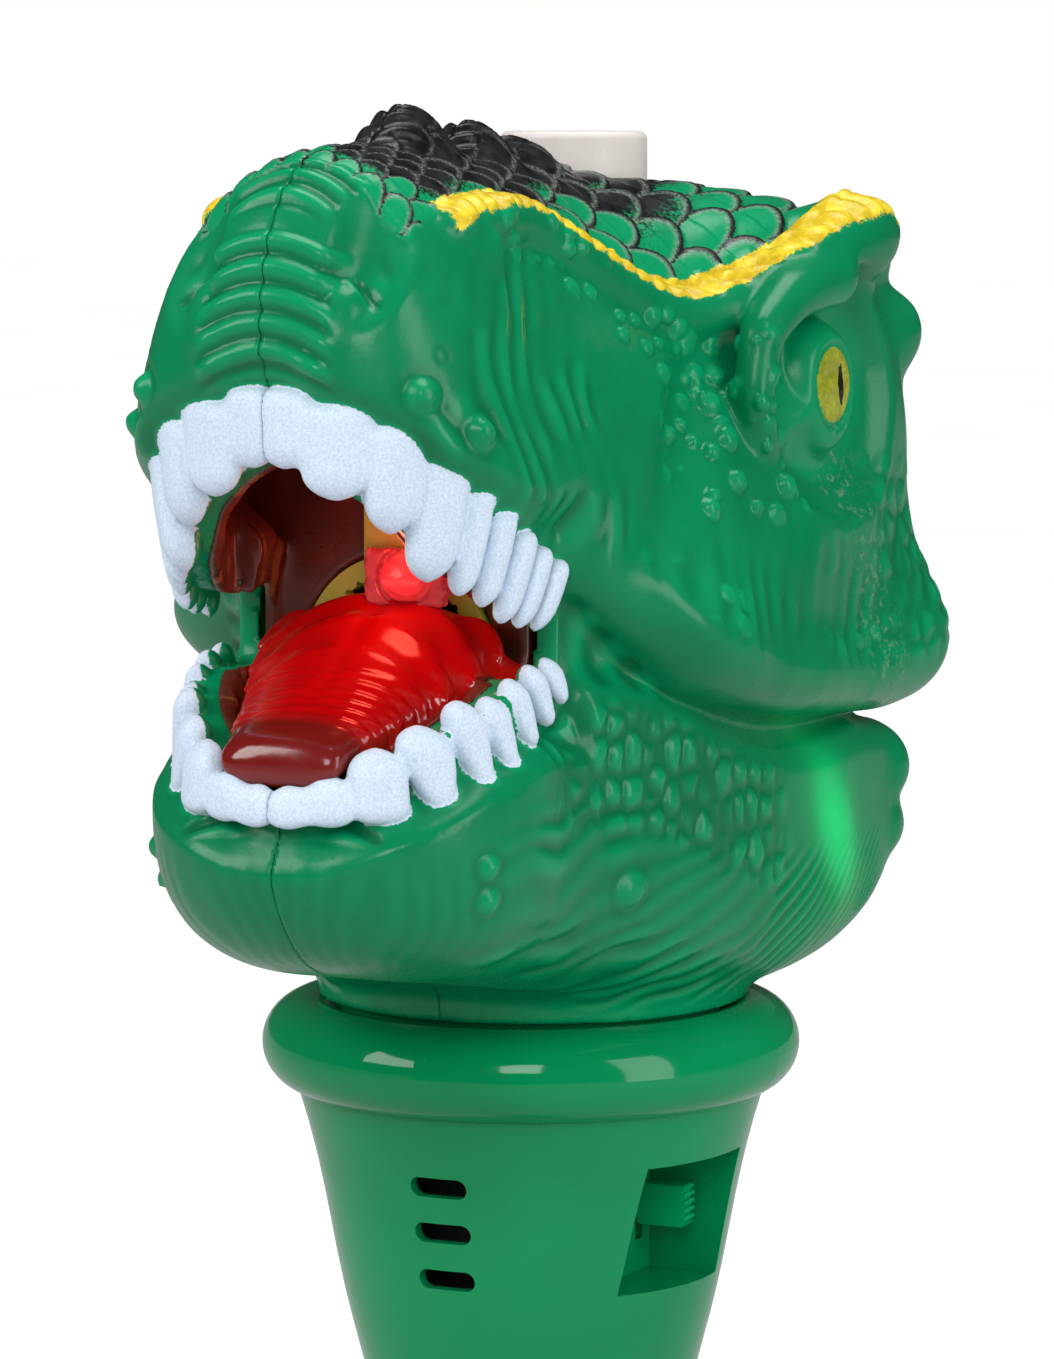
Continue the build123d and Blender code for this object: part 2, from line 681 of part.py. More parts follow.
def pump_tube():
    low = AXIS_Z - TUBE_ARC
    route = [
        (-TUBE_ARC, TUBE_FRONT, TANK_Z[0] - 4),
        (-TUBE_ARC, TUBE_FRONT, low),
        (TUBE_ARC, TUBE_FRONT, low),
        (TUBE_ARC, TUBE_FRONT, TUBE_TOP_Z),
        (TUBE_ARC, 12, TUBE_TOP_Z),
        (0, OUTLET_FRONT, TUBE_TOP_Z),
        (0, OUTLET_FRONT, AXIS_Z + DUCT_R - 0.8),
    ]
    return swept(route, [11.3, 11.3, 8, 8, 3.5], TUBE_R)


# ---------------------------------------------------------------- blower
def blower_housing():
    low, high = BLOWER_Z
    drum = rod_up(BLOWER_R, (low, high), front=BLOWER_FRONT)
    drum += block(BLOWER_THROAT_X, (BLOWER_FRONT, BLOWER_THROAT_FRONT), (low, high))
    drum -= rod_up(BLOWER_R - 1.6, (low + 1.6, high + 1), front=BLOWER_FRONT)
    drum -= block((-9.4, 14.4), (BLOWER_FRONT, BLOWER_THROAT_FRONT - 1.6), (low + 1.6, high + 1))
    return drum - rod_up(3, (low - 1, low + 3), front=BLOWER_FRONT)


def blower_cover():
    high = BLOWER_Z[1]
    cover = rod_up(BLOWER_R, (high, high + 1.6), front=BLOWER_FRONT)
    cover += block(BLOWER_THROAT_X, (BLOWER_FRONT, BLOWER_THROAT_FRONT), (high, high + 1.6))
    cover -= rod_up(9, (high - 1, high + 3), front=BLOWER_FRONT)
    return cover - block((-7.4, 7.4), (23.6, 32.4), (high - 1, high + 3))


def impeller():
    low = BLOWER_Z[0] + 2.6
    disc = rod_up(IMPELLER_R, (low, low + 1.4)) + rod_up(4, (low, low + 9))
    for step in range(BLADES):
        blade = Pos(IMPELLER_R - 5, 0, low + 6) * Rot(0, 0, 35) * Box(7, 1.2, 10)
        disc += Rot(0, 0, 360 / BLADES * step) * blade
    disc -= rod_up(MOTOR_SHAFT_R, (low - 1, low + 20))
    return Pos(0, -BLOWER_FRONT, 0) * disc


def blower_motor():
    top = BLOWER_Z[0]
    can = rod_up(MOTOR_R, (top - MOTOR_L, top), front=BLOWER_FRONT)
    flats = block((-MOTOR_FLAT, MOTOR_FLAT), (-40, 40), (top - 40, top))
    return (can & flats) - rod_up(MOTOR_SHAFT_R + RUN, (top - 10, top + 1), front=BLOWER_FRONT)


def blower_shaft():
    return rod_up(MOTOR_SHAFT_R, (BLOWER_Z[0] - 10, BLOWER_Z[0] + 11.6), front=BLOWER_FRONT)


# ---------------------------------------------------------------- lights and wires
def mouth_led_lens():
    lens = block(LENS_X, (LENS_FRONT[0], LENS_FRONT[1] - 1.2), LENS_Z)
    lens += rod_front(4.6, LENS_FRONT, *LENS_PLACE)
    return lens - rod_front(LED_R + 0.1, (LENS_FRONT[0] - 1, LENS_FRONT[0] + 2.2), *LENS_PLACE)


def mouth_led():
    return rod_front(LED_R, (LENS_FRONT[0] - 2.1, LENS_FRONT[0] + 2.0), *LENS_PLACE)


def led_holder():
    """Bracket that hangs the lens from the back panel, above the bubble ring."""
    plate = block((LENS_X[0] - 1, LENS_X[1] + 1), (47.3, LENS_FRONT[0]), (255.8, 268))
    foot = block((LENS_X[0] - 1, LENS_X[1] + 1), (46.0, 47.3), (259.5, 268))
    return plate + foot - rod_front(LED_R + 0.1, (40, 60), *LENS_PLACE)


def glow_leds():
    lamp = rod_side(LED_R, GLOW_X[1:], GLOW_FRONT, GLOW_Z) + ball(GLOW_X[2], GLOW_FRONT, GLOW_Z, LED_R)
    return both_sides(lamp)


def glow_boards():
    return both_sides(block(GLOW_X[:2], (GLOW_FRONT - 4, GLOW_FRONT + 4), (GLOW_Z - 4, GLOW_Z + 4)))


def wiring():
    """Four leads: cells to board, and board to blower motor, pump motor and mouth lamp."""
    routes = [
        ([(4, -3, 65.4), (3.6, -3, 88), (5.2, -4, 110), (6.2, -4, 134)], [60, 60]),
        ([(6.2, -6, 150), (5.6, -6.5, 160), (4.2, -7, BLOWER_Z[0] - MOTOR_L - 0.2)], [20]),
        (
            [(6.2, -9, 148), (6, -9.6, 165.6), (13, -13.4, 173), (20, -14, 184), (23, -13.5, 193),
             (28, -15, 201), (30.4, -20, 217), (28, -33.8, 240)],
            [5, 8, 8, 8, 10, 14],
        ),
        (
            [(6.2, -10, 146), (-5, -13, 161), (-15, -14, 175), (-23.2, -12, 188), (-28, -8, 199),
             (-30, 6, 222), (-24, 24, 246), (-8, 38, 259.2), (2.5, 43.6, 259.2)],
            [10, 12, 12, 10, 12, 12, 8],
        ),
    ]
    return Compound(children=[swept(points, radii, WIRE_R) for points, radii in routes])


def screws(places):
    pieces = []
    for front, z in places:
        head = rod_side(SCREW_HEAD_R, (-12.2, -10), front, z)
        head -= rod_side(0.5, (-13, -11.2), front, z)
        pieces.append(head + rod_side(SCREW_R, (-10, 8), front, z))
    return Compound(children=pieces)


# ---------------------------------------------------------------- write every part
head_left, head_right = head_shells()
handle_left, handle_right = handle_shells()
output_gear, idler_gear_2, idler_gear_1, motor_pinion = gears()
PARTS = {
    "head_shell_left": head_left,
    "head_shell_right": head_right,
    "handle_shell_left": handle_left,
    "handle_shell_right": handle_right,
    "mouth_liner": mouth_liner(),
    "tongue": tongue(),
    "bubble_ring": bubble_ring(),
    "wiper": wiper(),
    "drive_shaft": drive_shaft(),
    "output_gear": output_gear,
    "idler_gear_2": idler_gear_2,
    "idler_gear_1": idler_gear_1,
    "idler_axles": idler_axles(),
    "motor_pinion": motor_pinion,
    "pump_motor_shaft": pump_motor_shaft(),
    "pump_motor": pump_motor(),
    "gearbox_case": gearbox_case(),
    "gearbox_cover": gearbox_cover(),
    "pump_rotor": pump_rotor(),
    "pump_housing": pump_housing(),
    "pump_tube": pump_tube(),
    "air_duct": air_duct(),
    "blower_housing": blower_housing(),
    "blower_cover": blower_cover(),
    "impeller": impeller(),
    "blower_shaft": blower_shaft(),
    "blower_motor": blower_motor(),
    "solution_tank": solution_tank(),
    "filler_cap": filler_cap(),
    "cap_seal": rod_up(NECK_FILL_R + 0.3, (314.8, CAP_Z[1] - 2.0), front=CAP_FRONT),
    "mouth_led_lens": mouth_led_lens(),
    "mouth_led": mouth_led(),
    "led_holder": led_holder(),
    "glow_leds": glow_leds(),
    "glow_boards": glow_boards(),
    "control_board": control_board(),
    "slide_switch": slide_switch(),
    "switch_knob": switch_knob(),
    "speaker": speaker(),
    "battery_holder": battery_holder(),
    "battery_cells": battery_cells(),
    "battery_contacts": battery_contacts(),
    "battery_door": battery_door(),
    "door_screw": door_screw(),
    "head_screws": screws(HEAD_SCREWS),
    "handle_screws": screws(HANDLE_SCREWS),
    "wiring": wiring(),
}
for name, shape in PARTS.items():
    save(shape, name)
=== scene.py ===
"""Looks of a hand-held bubble machine: a dinosaur head with an open mouth on a round handle.

Shapes are worked out in millimetres as distance fields, with x across, f forwards (which is -Y of
the frame) and z up, meshed on a fine grid and handed to Blender in metres.
"""

import itertools
import json
import math

import bpy
import numpy as np
import openvdb
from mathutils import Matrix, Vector


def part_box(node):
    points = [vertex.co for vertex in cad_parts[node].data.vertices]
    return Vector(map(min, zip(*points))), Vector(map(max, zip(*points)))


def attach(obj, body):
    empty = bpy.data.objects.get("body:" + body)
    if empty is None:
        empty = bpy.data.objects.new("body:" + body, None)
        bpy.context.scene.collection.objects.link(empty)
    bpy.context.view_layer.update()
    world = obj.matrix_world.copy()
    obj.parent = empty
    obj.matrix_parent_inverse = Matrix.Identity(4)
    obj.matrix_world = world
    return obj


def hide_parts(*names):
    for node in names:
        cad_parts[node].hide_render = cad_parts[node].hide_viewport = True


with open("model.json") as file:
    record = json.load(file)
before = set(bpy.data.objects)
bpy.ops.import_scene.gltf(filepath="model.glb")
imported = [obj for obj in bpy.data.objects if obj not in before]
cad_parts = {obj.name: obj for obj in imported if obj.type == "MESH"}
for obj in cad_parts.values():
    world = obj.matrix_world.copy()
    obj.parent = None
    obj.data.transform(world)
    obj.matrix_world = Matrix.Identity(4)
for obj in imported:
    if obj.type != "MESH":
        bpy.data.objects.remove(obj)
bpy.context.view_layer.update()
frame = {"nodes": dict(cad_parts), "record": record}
VOXEL = 0.5  # mm
WALL = 2.2  # mm, shell thickness
SEAM = 0.08  # mm, half the gap at the parting plane


# ---------------------------------------------------------------- numeric helpers
def smooth_min(a, b, k):
    h = np.clip(0.5 + 0.5 * (b - a) / k, 0, 1)
    return b * (1 - h) + a * h - k * h * (1 - h)


def smooth_max(a, b, k):
    return -smooth_min(-a, -b, k)


def step(low, high, value):
    t = np.clip((value - low) / (high - low), 0, 1)
    return t * t * (3 - 2 * t)


def curve(points, blur=2.0):
    """Function of one value through points (where, value), with its corners rounded over blur mm."""
    where, value = np.array(points, float).T
    order = np.argsort(where)
    where, value = where[order], value[order]
    fine = np.arange(where[0] - 20, where[-1] + 20, 0.5)
    sampled = np.interp(fine, where, value)
    reach = np.arange(-int(6 * blur), int(6 * blur) + 1) * 0.5
    kernel = np.exp(-0.5 * (reach / blur) ** 2)
    padded = np.pad(sampled, len(reach) // 2, mode="edge")
    rounded = np.convolve(padded, kernel / kernel.sum(), mode="valid")
    return lambda at: np.interp(at, fine, rounded)


def outline_distance(px, py, outline):
    """Signed distance from points to a closed outline, negative inside."""
    ax, ay = np.array(outline, float).T
    bx, by = np.roll(ax, -1), np.roll(ay, -1)
    nearest = np.full(px.shape, 1e9)
    inside = np.zeros(px.shape, bool)
    for x0, y0, x1, y1 in zip(ax, ay, bx, by):
        ex, ey = x1 - x0, y1 - y0
        t = np.clip(((px - x0) * ex + (py - y0) * ey) / max(ex * ex + ey * ey, 1e-12), 0, 1)
        nearest = np.minimum(nearest, (px - x0 - t * ex) ** 2 + (py - y0 - t * ey) ** 2)
        crosses = ((y0 <= py) & (y1 > py)) | ((y1 <= py) & (y0 > py))
        if ey:
            inside ^= crosses & (px < x0 + (py - y0) * ex / ey)
    return np.where(inside, -1, 1) * np.sqrt(nearest)


def hashed(i, j, k, seed):
    """Repeatable random number from 0 to 1 for a lattice cell."""
    n = (i * 73856093) ^ (j * 19349663) ^ (k * 83492791) ^ (seed * 2654435761)
    n = (n ^ (n >> 13)) * 1274126177 & 0x7FFFFFFF
    return ((n ^ (n >> 16)) & 0xFFFF) / 65535.0


def noise(x, y, z, size, seed=0):
    """Smooth random values from -1 to 1, size mm apart."""
    x, y, z = x / size, y / size, z / size
    i, j, k = (np.floor(v).astype(np.int64) for v in (x, y, z))
    u, v, w = (step(0, 1, t) for t in (x - i, y - j, z - k))
    total = 0
    for di, dj, dk in itertools.product((0, 1), repeat=3):
        share = (u if di else 1 - u) * (v if dj else 1 - v) * (w if dk else 1 - w)
        total = total + share * hashed(i + di, j + dj, k + dk, seed)
    return 2 * total - 1


def ellipsoid(x, f, z, centre, radii):
    """Distance from an ellipsoid, nearly true close to its surface."""
    a, b, c = ((v - m) / r for v, m, r in zip((x, f, z), centre, radii))
    length = np.sqrt(a * a + b * b + c * c)
    slope = np.sqrt((a / radii[0]) ** 2 + (b / radii[1]) ** 2 + (c / radii[2]) ** 2)
    return length * (length - 1) / np.maximum(slope, 1e-6)


class Grid:
    """Regular grid of points over a box, in mm."""

    def __init__(self, low, high, size):
        self.low, self.size = np.array(low, float), size
        axes = [np.arange(a, b + size, size, dtype=np.float32) for a, b in zip(low, high)]
        self.x = axes[0][:, None, None]
        self.f = axes[1][None, :, None]
        self.z = axes[2][None, None, :]
        self.shape = tuple(len(a) for a in axes)

    def window(self, low, high):
        """Slices and points of the part of the grid inside a smaller box."""
        cuts = []
        for axis in range(3):
            first = max(0, int((low[axis] - self.low[axis]) / self.size))
            last = min(self.shape[axis], int((high[axis] - self.low[axis]) / self.size) + 2)
            cuts.append(slice(first, max(first, last)))
        a, b, c = cuts
        return (a, b, c), self.x[a], self.f[:, b], self.z[:, :, c]

    def sample(self, field, points):
        """Values of a field at points, by linear interpolation."""
        q = (points - self.low) / self.size
        i = np.clip(np.floor(q).astype(int), 0, np.array(self.shape) - 2)
        t = q - i
        total = 0
        for corner in range(8):
            o = np.array([(corner >> s) & 1 for s in range(3)])
            share = np.prod(np.where(o, t, 1 - t), axis=1)
            total = total + share * field[tuple((i + o).T)]
        return total

    def mesh(self, field):
        """Points in mm and quads of the surface where the field is 0."""
        volume = openvdb.FloatGrid()
        volume.background = 5.0
        volume.copyFromArray(np.ascontiguousarray(np.clip(field, -5, 5), dtype=np.float32))
        points, triangles, quads = volume.convertToPolygons(0.0, 0.0)
        if len(triangles):
            quads = np.concatenate([quads, np.column_stack([triangles, triangles[:, :1]])])
        return points * self.size + self.low, quads[:, ::-1]


def to_frame(points):
    """From mm (x, forwards, z) to the frame's metres."""
    return np.column_stack([points[:, 0], -points[:, 1], points[:, 2]]) * 0.001


def vertex_normals(points, quads):
    a = points[quads[:, 2]] - points[quads[:, 0]]
    b = points[quads[:, 3]] - points[quads[:, 1]]
    face = np.cross(a, b)
    total = np.zeros_like(points)
    for corner in range(4):
        for axis in range(3):
            total[:, axis] += np.bincount(quads[:, corner], face[:, axis], len(points))
    return -total / np.maximum(np.linalg.norm(total, axis=1, keepdims=True), 1e-12)


def add_object(name, data, place=(0, 0, 0), facing=None):
    """A new object in the scene, turned to look in a direction when one is given."""
    obj = bpy.data.objects.new(name, data)
    bpy.context.scene.collection.objects.link(obj)
    obj.location = place
    if facing is not None:
        obj.rotation_euler = facing.to_track_quat("-Z", "Y").to_euler()
    return obj


def make_object(name, points, faces, material, attributes=None):
    """Blender object from points in mm (x, forwards, z) and faces."""
    mesh = bpy.data.meshes.new(name)
    faces = [tuple(dict.fromkeys(face)) for face in np.asarray(faces).tolist()]
    mesh.from_pydata(to_frame(points).tolist(), [], faces)
    for key, values in (attributes or {}).items():
        layer = mesh.attributes.new(key, "FLOAT", "POINT")
        layer.data.foreach_set("value", np.asarray(values, np.float32))
    mesh.polygons.foreach_set("use_smooth", np.full(len(mesh.polygons), True))
    mesh.materials.append(material)
    mesh.update()
    return add_object(name, mesh)


# ---------------------------------------------------------------- head: main forms
BROW_X = curve([(90, 18.5), (67, 18.8), (58, 18.0), (44, 18.2), (35, 20.3), (24, 23.5), (14, 27.0),
                (6, 30.5), (-4, 36), (-10, 39.5), (-22, 43.5), (-32, 44), (-45, 42), (-60, 38)], 1.5)
BROW_Z = curve([(90, 308), (67, 307.8), (58, 308), (44, 307.8), (35, 304.2), (24, 298.8), (14, 294.0),
                (6, 292.4), (-4, 295.6), (-10, 299.0), (-22, 304.6), (-32, 306), (-45, 299), (-56, 288),
                (-70, 272)], 1.5)
TOP_Z = curve([(95, 316), (78, 316.8), (62, 317.5), (45, 317.5), (30, 316.5), (10, 315), (-10, 313.5),
               (-30, 311), (-45, 304), (-56, 292), (-70, 275)], 3)
# Height of the edges of the cheeks and the lower jaw: by direction round the snout in degrees, and by front.
LIP_TURN = curve([(-5, 273.6), (3, 273.4), (18, 270), (34, 265.8), (47, 259.6), (58, 257.2), (67, 255.2),
                  (76, 253), (87, 252.2), (110, 252.2)], 1.5)
CHEEK_EDGE = curve([(62, 252.4), (58, 252.4), (54, 253.4), (50, 253.8), (46, 251), (40, 246), (34, 240.8),
                    (29, 236.5), (18, 233.2), (5, 231), (-15, 229.3), (-35, 228.2), (-44, 229), (-52, 234),
                    (-60, 244)], 1.5)
JAW_TURN = curve([(-5, 226.2), (3, 226.4), (15, 227.2), (30, 230.4), (47, 233.6), (62, 236.8), (73, 238.2),
                  (81, 240), (92, 241), (110, 241)], 1.5)
JAW_EDGE = curve([(62, 241), (58, 241), (54, 240.6), (48, 240.6), (39, 240.6), (33, 239.2), (27, 236.4),
                  (19, 232.6), (10, 229), (0, 227), (-12, 226.5), (-28, 227.5), (-45, 226), (-60, 222)], 1.5)
BOTTOM_Z = curve([(95, 206), (86, 202.4), (77, 199.4), (66, 197), (50, 194.5), (35, 191.5), (15, 188),
                  (-12, 185.8), (-30, 187), (-42, 190), (-50, 196), (-60, 208)], 3)
SNOUT_CENTRE = 58.0  # front of the point that the snout's outline turns about
NECK_R = 33.0
# Plan outlines: front, reach forwards, half width and squareness of the rounded front, side points
# (x, front), radius and centre (x, front) of the rear corner, rear end.
HEAD_PLAN = (58, 32.0, 32.0, 2.4, [(33.2, 50), (36.2, 40), (40.2, 30), (44.0, 20), (46.3, 10), (47.5, 0),
                                   (48.0, -20)], 18, (28.5, -38), -58.5)
JAW_PLAN = (54, 35.4, 30.3, 2.3, [(32.0, 44), (36.0, 32), (40, 20), (43.0, 5), (45.0, -20)], 18.5,
            (26.5, -38), -57)
UPPER_ROW = (56, 32.6, 29.3, 2.0, [(31.5, 45)], 20, (28, -38), -59.5)
LOWER_ROW = (52, 35.0, 27.0, 1.9, [(29.5, 42)], 20, (24, -38), -59.5)


def half_outline(plan, inset=0.0):
    """Left half of an outline seen from above, from the nose to the rear, as (x, front)."""
    front, reach, half, power, sides, corner, (corner_x, corner_front), rear = plan
    reach, half, corner = reach - inset, half - inset, corner - inset
    points = []
    for turn in np.linspace(0, math.pi / 2, 25):
        x = half * math.sin(turn) ** (2 / power)
        points.append((x, front + reach * max(0.0, math.cos(turn)) ** (2 / power)))
    points += [(x - inset, f) for x, f in sides]
    for turn in np.linspace(0, math.pi / 2, 9):
        points.append((corner_x + corner * math.cos(turn), corner_front - corner * math.sin(turn)))
    return points + [(0, rear + inset)]


def plan_field(x, f, plan, inset=0.0):
    """Distance from the outline in plan, negative inside."""
    side = half_outline(plan, inset)
    whole = side + [(-x, f) for x, f in reversed(side[1:-1])]
    return outline_distance(np.abs(x) + 0 * f, f + 0 * x, whole).astype(np.float32)


def edge_height(grid, by_turn, by_front):
    """Height of a lip's edge at each x and front."""
    turn = np.degrees(np.arctan2(np.abs(grid.x) + 0 * grid.f, grid.f - SNOUT_CENTRE + 0 * grid.x))
    ahead = step(SNOUT_CENTRE - 2, SNOUT_CENTRE + 4, grid.f)
    return by_turn(turn) * ahead + by_front(grid.f) * (1 - ahead)


def gape_field(grid):
    """Distance field of the open space between the jaws, negative inside."""
    upper = (grid.z - edge_height(grid, LIP_TURN, CHEEK_EDGE)) * 0.85
    lower = (edge_height(grid, JAW_TURN, JAW_EDGE) - grid.z) * 0.85
    return smooth_max(smooth_max(upper, lower, 2.0), 47.5 - grid.f, 3.0)


def head_field(grid):
    """Distance field of the head's outside, before its small details."""
    x, f, z = grid.x, grid.f, grid.z
    across = np.abs(x) + 0 * f
    lip = z - edge_height(grid, LIP_TURN, CHEEK_EDGE)
    gum = z - edge_height(grid, JAW_TURN, JAW_EDGE)
    ahead = step(46, 52, f)
    at_teeth = ahead * (1 - step(8, 17, lip))
    plan = plan_field(x, f, HEAD_PLAN) * (1 - at_teeth) + (plan_field(x, f, UPPER_ROW) + 2.0) * at_teeth
    at_teeth = step(45, 50, f) * step(-13, -5, gum)
    jaw_plan = plan_field(x, f, JAW_PLAN) * (1 - at_teeth) + (plan_field(x, f, LOWER_ROW) + 2.2) * at_teeth
    brow_x, brow_z, top = BROW_X(f), BROW_Z(f), TOP_Z(f)
    share = np.clip(across / brow_x, 0, 1)
    fall = 1.35 - 0.3 * step(30, 60, f) - 0.35 * step(-10, -30, f)
    beyond = np.maximum(across - brow_x, 0)
    roof = top - (top - brow_z) * share ** 1.7 - fall * beyond - 0.045 * step(38, 72, f) * beyond ** 2
    rear = 7.0 * np.exp(-((z - 239) / 13) ** 2) * step(-15, -45, f)
    cheek = 4.2 * np.exp(-((z - 248) / 10) ** 2 - ((f - 28) / 13) ** 2)
    roll = z - CHEEK_EDGE(f)
    cheek = cheek + 2.4 * np.exp(-((roll - 6) / 6) ** 2) * (step(-40, -20, f) * (1 - step(34, 44, f)))
    upper = smooth_max(plan - rear - cheek, (z - roof) * 0.8, 22.0)
    # Ahead of the snout's centre it is the gape that parts the jaws, not these edges.
    snout = step(SNOUT_CENTRE, SNOUT_CENTRE + 2, f)
    upper = smooth_max(upper, -roll * 0.9 - 20 * snout, 8.0)
    lower = smooth_max(jaw_plan, (z - JAW_EDGE(f)) * 0.9 - 60 * snout, 6.0)
    lower = smooth_max(lower, BOTTOM_Z(f) - z, 22.0)
    # The core joins the jaws behind the mouth, and the neck joins them to the handle.
    core = smooth_max(plan_field(x, f, HEAD_PLAN, 7.5), np.abs(z - 246.0) - 32, 24.0)
    body = smooth_min(smooth_min(upper, lower, 1.0), core, 2.5)
    neck = np.maximum(np.hypot(x, f) - NECK_R, np.abs(z - 200) - 14.5)
    return smooth_min(body, neck, 4.0)


# ---------------------------------------------------------------- head: added forms
EYE = (44.7, -15.0, 280.6)  # middle of the flat eye disc
EYE_R = 11  # radius of the clear space around the disc


def add_face_forms(grid, field):
    """Brow, eye, crest and other raised forms, in place."""
    def blend_in(centre, radii, k, sign=1):
        reach = np.array(radii) + k + 3
        cut, x, f, z = grid.window(centre - reach, centre + reach)
        if 0 in x.shape[:1] + f.shape[1:2] + z.shape[2:]:
            return
        bump = ellipsoid(x, f, z, centre, radii)
        field[cut] = smooth_min(field[cut], bump, k) if sign > 0 else smooth_max(field[cut], -bump, k)

    def along(points, radii, k, sign=1, gap=1.5):
        """A line of overlapping balls through points, with radii that change evenly."""
        points = np.array(points, float)
        gaps = np.linalg.norm(np.diff(points, axis=0), axis=1)
        far = np.concatenate([[0], np.cumsum(gaps)])
        for s in np.arange(0, far[-1] + gap / 2, gap):
            place = [float(np.interp(s, far, points[:, axis])) for axis in range(3)]
            size = float(np.interp(s / far[-1], np.linspace(0, 1, len(radii)), radii))
            blend_in(place, (size, size, size), k, sign)

    # Brow: a rope along the brow line, ending in a knob behind the eye.
    for f in np.arange(66, -31, -2.0):
        size = 1.9 + 0.8 * float(step(66, 50, f)) + 1.6 * float(step(20, -20, f))
        blend_in((float(BROW_X(f)), f, float(BROW_Z(f)) - size * 0.5), (size, size * 1.3, size), 3.0)
    blend_in((40.0, -28.5, 301.5), (6, 8, 6.0), 5)
    blend_in((37.0, -43, 299.5), (5.5, 6, 5.0), 5)
    blend_in((40.5, -47.5, 287.5), (5.5, 6, 6.5), 5)
    # Fold in front of the cheek, and the hollow below the brow.
    along([(36.4, 14, 285), (39.5, 22, 277), (42.3, 32, 268), (43.0, 40, 259)], [2.2, 3.2, 3.2, 1.2], 6,
          sign=-1, gap=2)
    # Eye socket, lids and eyeball.
    along([(47.5, 2, 278), (47.5, -3, 286), (48.2, -12, 291), (49.8, -22, 289), (51.0, -27, 280),
           (50.8, -23, 270), (49.4, -13, 267.5), (48, -3, 270)], [6.6, 7.6, 8.0, 8.2, 8.2, 7.6, 6.6, 6.2], 3,
          sign=-1, gap=2)
    along([(41.0, 5, 272), (40.6, 8, 281), (40.8, 5, 289.5), (42.2, -4, 295), (44, -16, 297)],
          [0.9, 1.3, 1.6, 2.0, 2.4], 4)
    cut, x, f, z = grid.window((20, -30, 262), (56, 0, 298))
    egg = ellipsoid(x, f, z, (36.4, -15.4, 280.0), (11.6, 9.6, 12.0))
    flat = 0.9925 * (x - EYE[0]) + 0.122 * (f - EYE[1]) + 0 * z
    beyond = smooth_max(-flat, np.hypot(f - EYE[1], z - EYE[2]) + 0 * x - EYE_R, 1.0)
    field[cut] = smooth_max(field[cut], -beyond, 1.0)
    field[cut] = smooth_min(field[cut], smooth_max(egg, flat, 0.8), 0.8)
    # Nostril valleys and the ridges of the muzzle.
    along([(15, 80, 311), (15.5, 84.5, 304), (13.5, 88.5, 297)], [1.6, 2.2, 1.2], 6, sign=-1, gap=2)
    along([(7.5, 86.9, 286.5), (9.5, 86.0, 290.5), (11.0, 84.4, 296)], [1.8, 1.8, 1.2], 3)
    # Crest: three low humps on the middle line, the first the highest.
    hump = 9.0  # half the height of a hump
    for front, top, length, width in ((44.6, 323.4, 9.5, 6.0), (23.2, 321.0, 8.5, 6.5), (9.0, 318.6, 9, 7.5)):
        blend_in((0, front, top - hump), (width, length, hump), 4)
    # Jaw muscle and rear knobs of the lower jaw.
    blend_in((42.5, -43, 218.5), (3.8, 4, 4.6), 3)
    blend_in((41.8, -43, 209), (3.4, 4, 3.8), 3)


# Teeth of one side from the front back: distance along the jaw from the middle, z of root and tip, how
# far along the jaw the tip leans, width along the jaw, thickness.
UPPER_TEETH = [
    (2.6, 284.2, 272.0, 0.0, 8.2, 5.0),
    (10.6, 282.0, 267.6, -0.4, 11.0, 5.4),
    (18.9, 279.2, 262.6, -0.8, 8.8, 7.0),
    (25.6, 275.0, 255.6, -1.8, 8.4, 6.8),
    (31.6, 270.6, 253.6, -2.6, 4.7, 5.2),
    (36.2, 266.6, 251.8, -2.8, 4.5, 4.8),
    (40.8, 263.2, 249.2, -3.6, 4.4, 4.6),
    (45.4, 260.6, 248.2, -4.0, 4.3, 4.4),
    (50.0, 258.4, 247.4, -3.8, 4.2, 4.2),
]
LOWER_TEETH = [
    (2.6, 221.4, 228.0, 0.0, 6.6, 4.2),
    (8.6, 221.8, 229.4, 0.0, 7.6, 4.6),
    (15.4, 222.2, 233.4, -0.6, 8.8, 5.8),
    (23.2, 223.6, 236.4, -3.6, 8.6, 5.6),
    (30.2, 225.4, 239.6, -4.6, 6.4, 5.2),
    (35.6, 227.8, 239.8, -4.2, 5.2, 4.8),
    (40.2, 231.0, 242.0, -4.2, 4.9, 4.6),
    (44.9, 233.6, 243.6, -4.0, 4.7, 4.4),
    (49.4, 236.4, 244.2, -3.2, 4.4, 4.0),
]


SQUARE = 2.7  # squareness of a tooth's section: 2 is an ellipse


def row_path(plan):
    """Point on the left side of a row of teeth at a distance from the middle."""
    outline = np.array([p for p in half_outline(plan) if p[1] > 35])
    gaps = np.hypot(*np.diff(outline, axis=0).T)
    far = np.concatenate([[0], np.cumsum(gaps)])
    return lambda s: np.array([math.copysign(np.interp(abs(s), far, outline[:, 0]), s),
                               np.interp(abs(s), far, outline[:, 1])])


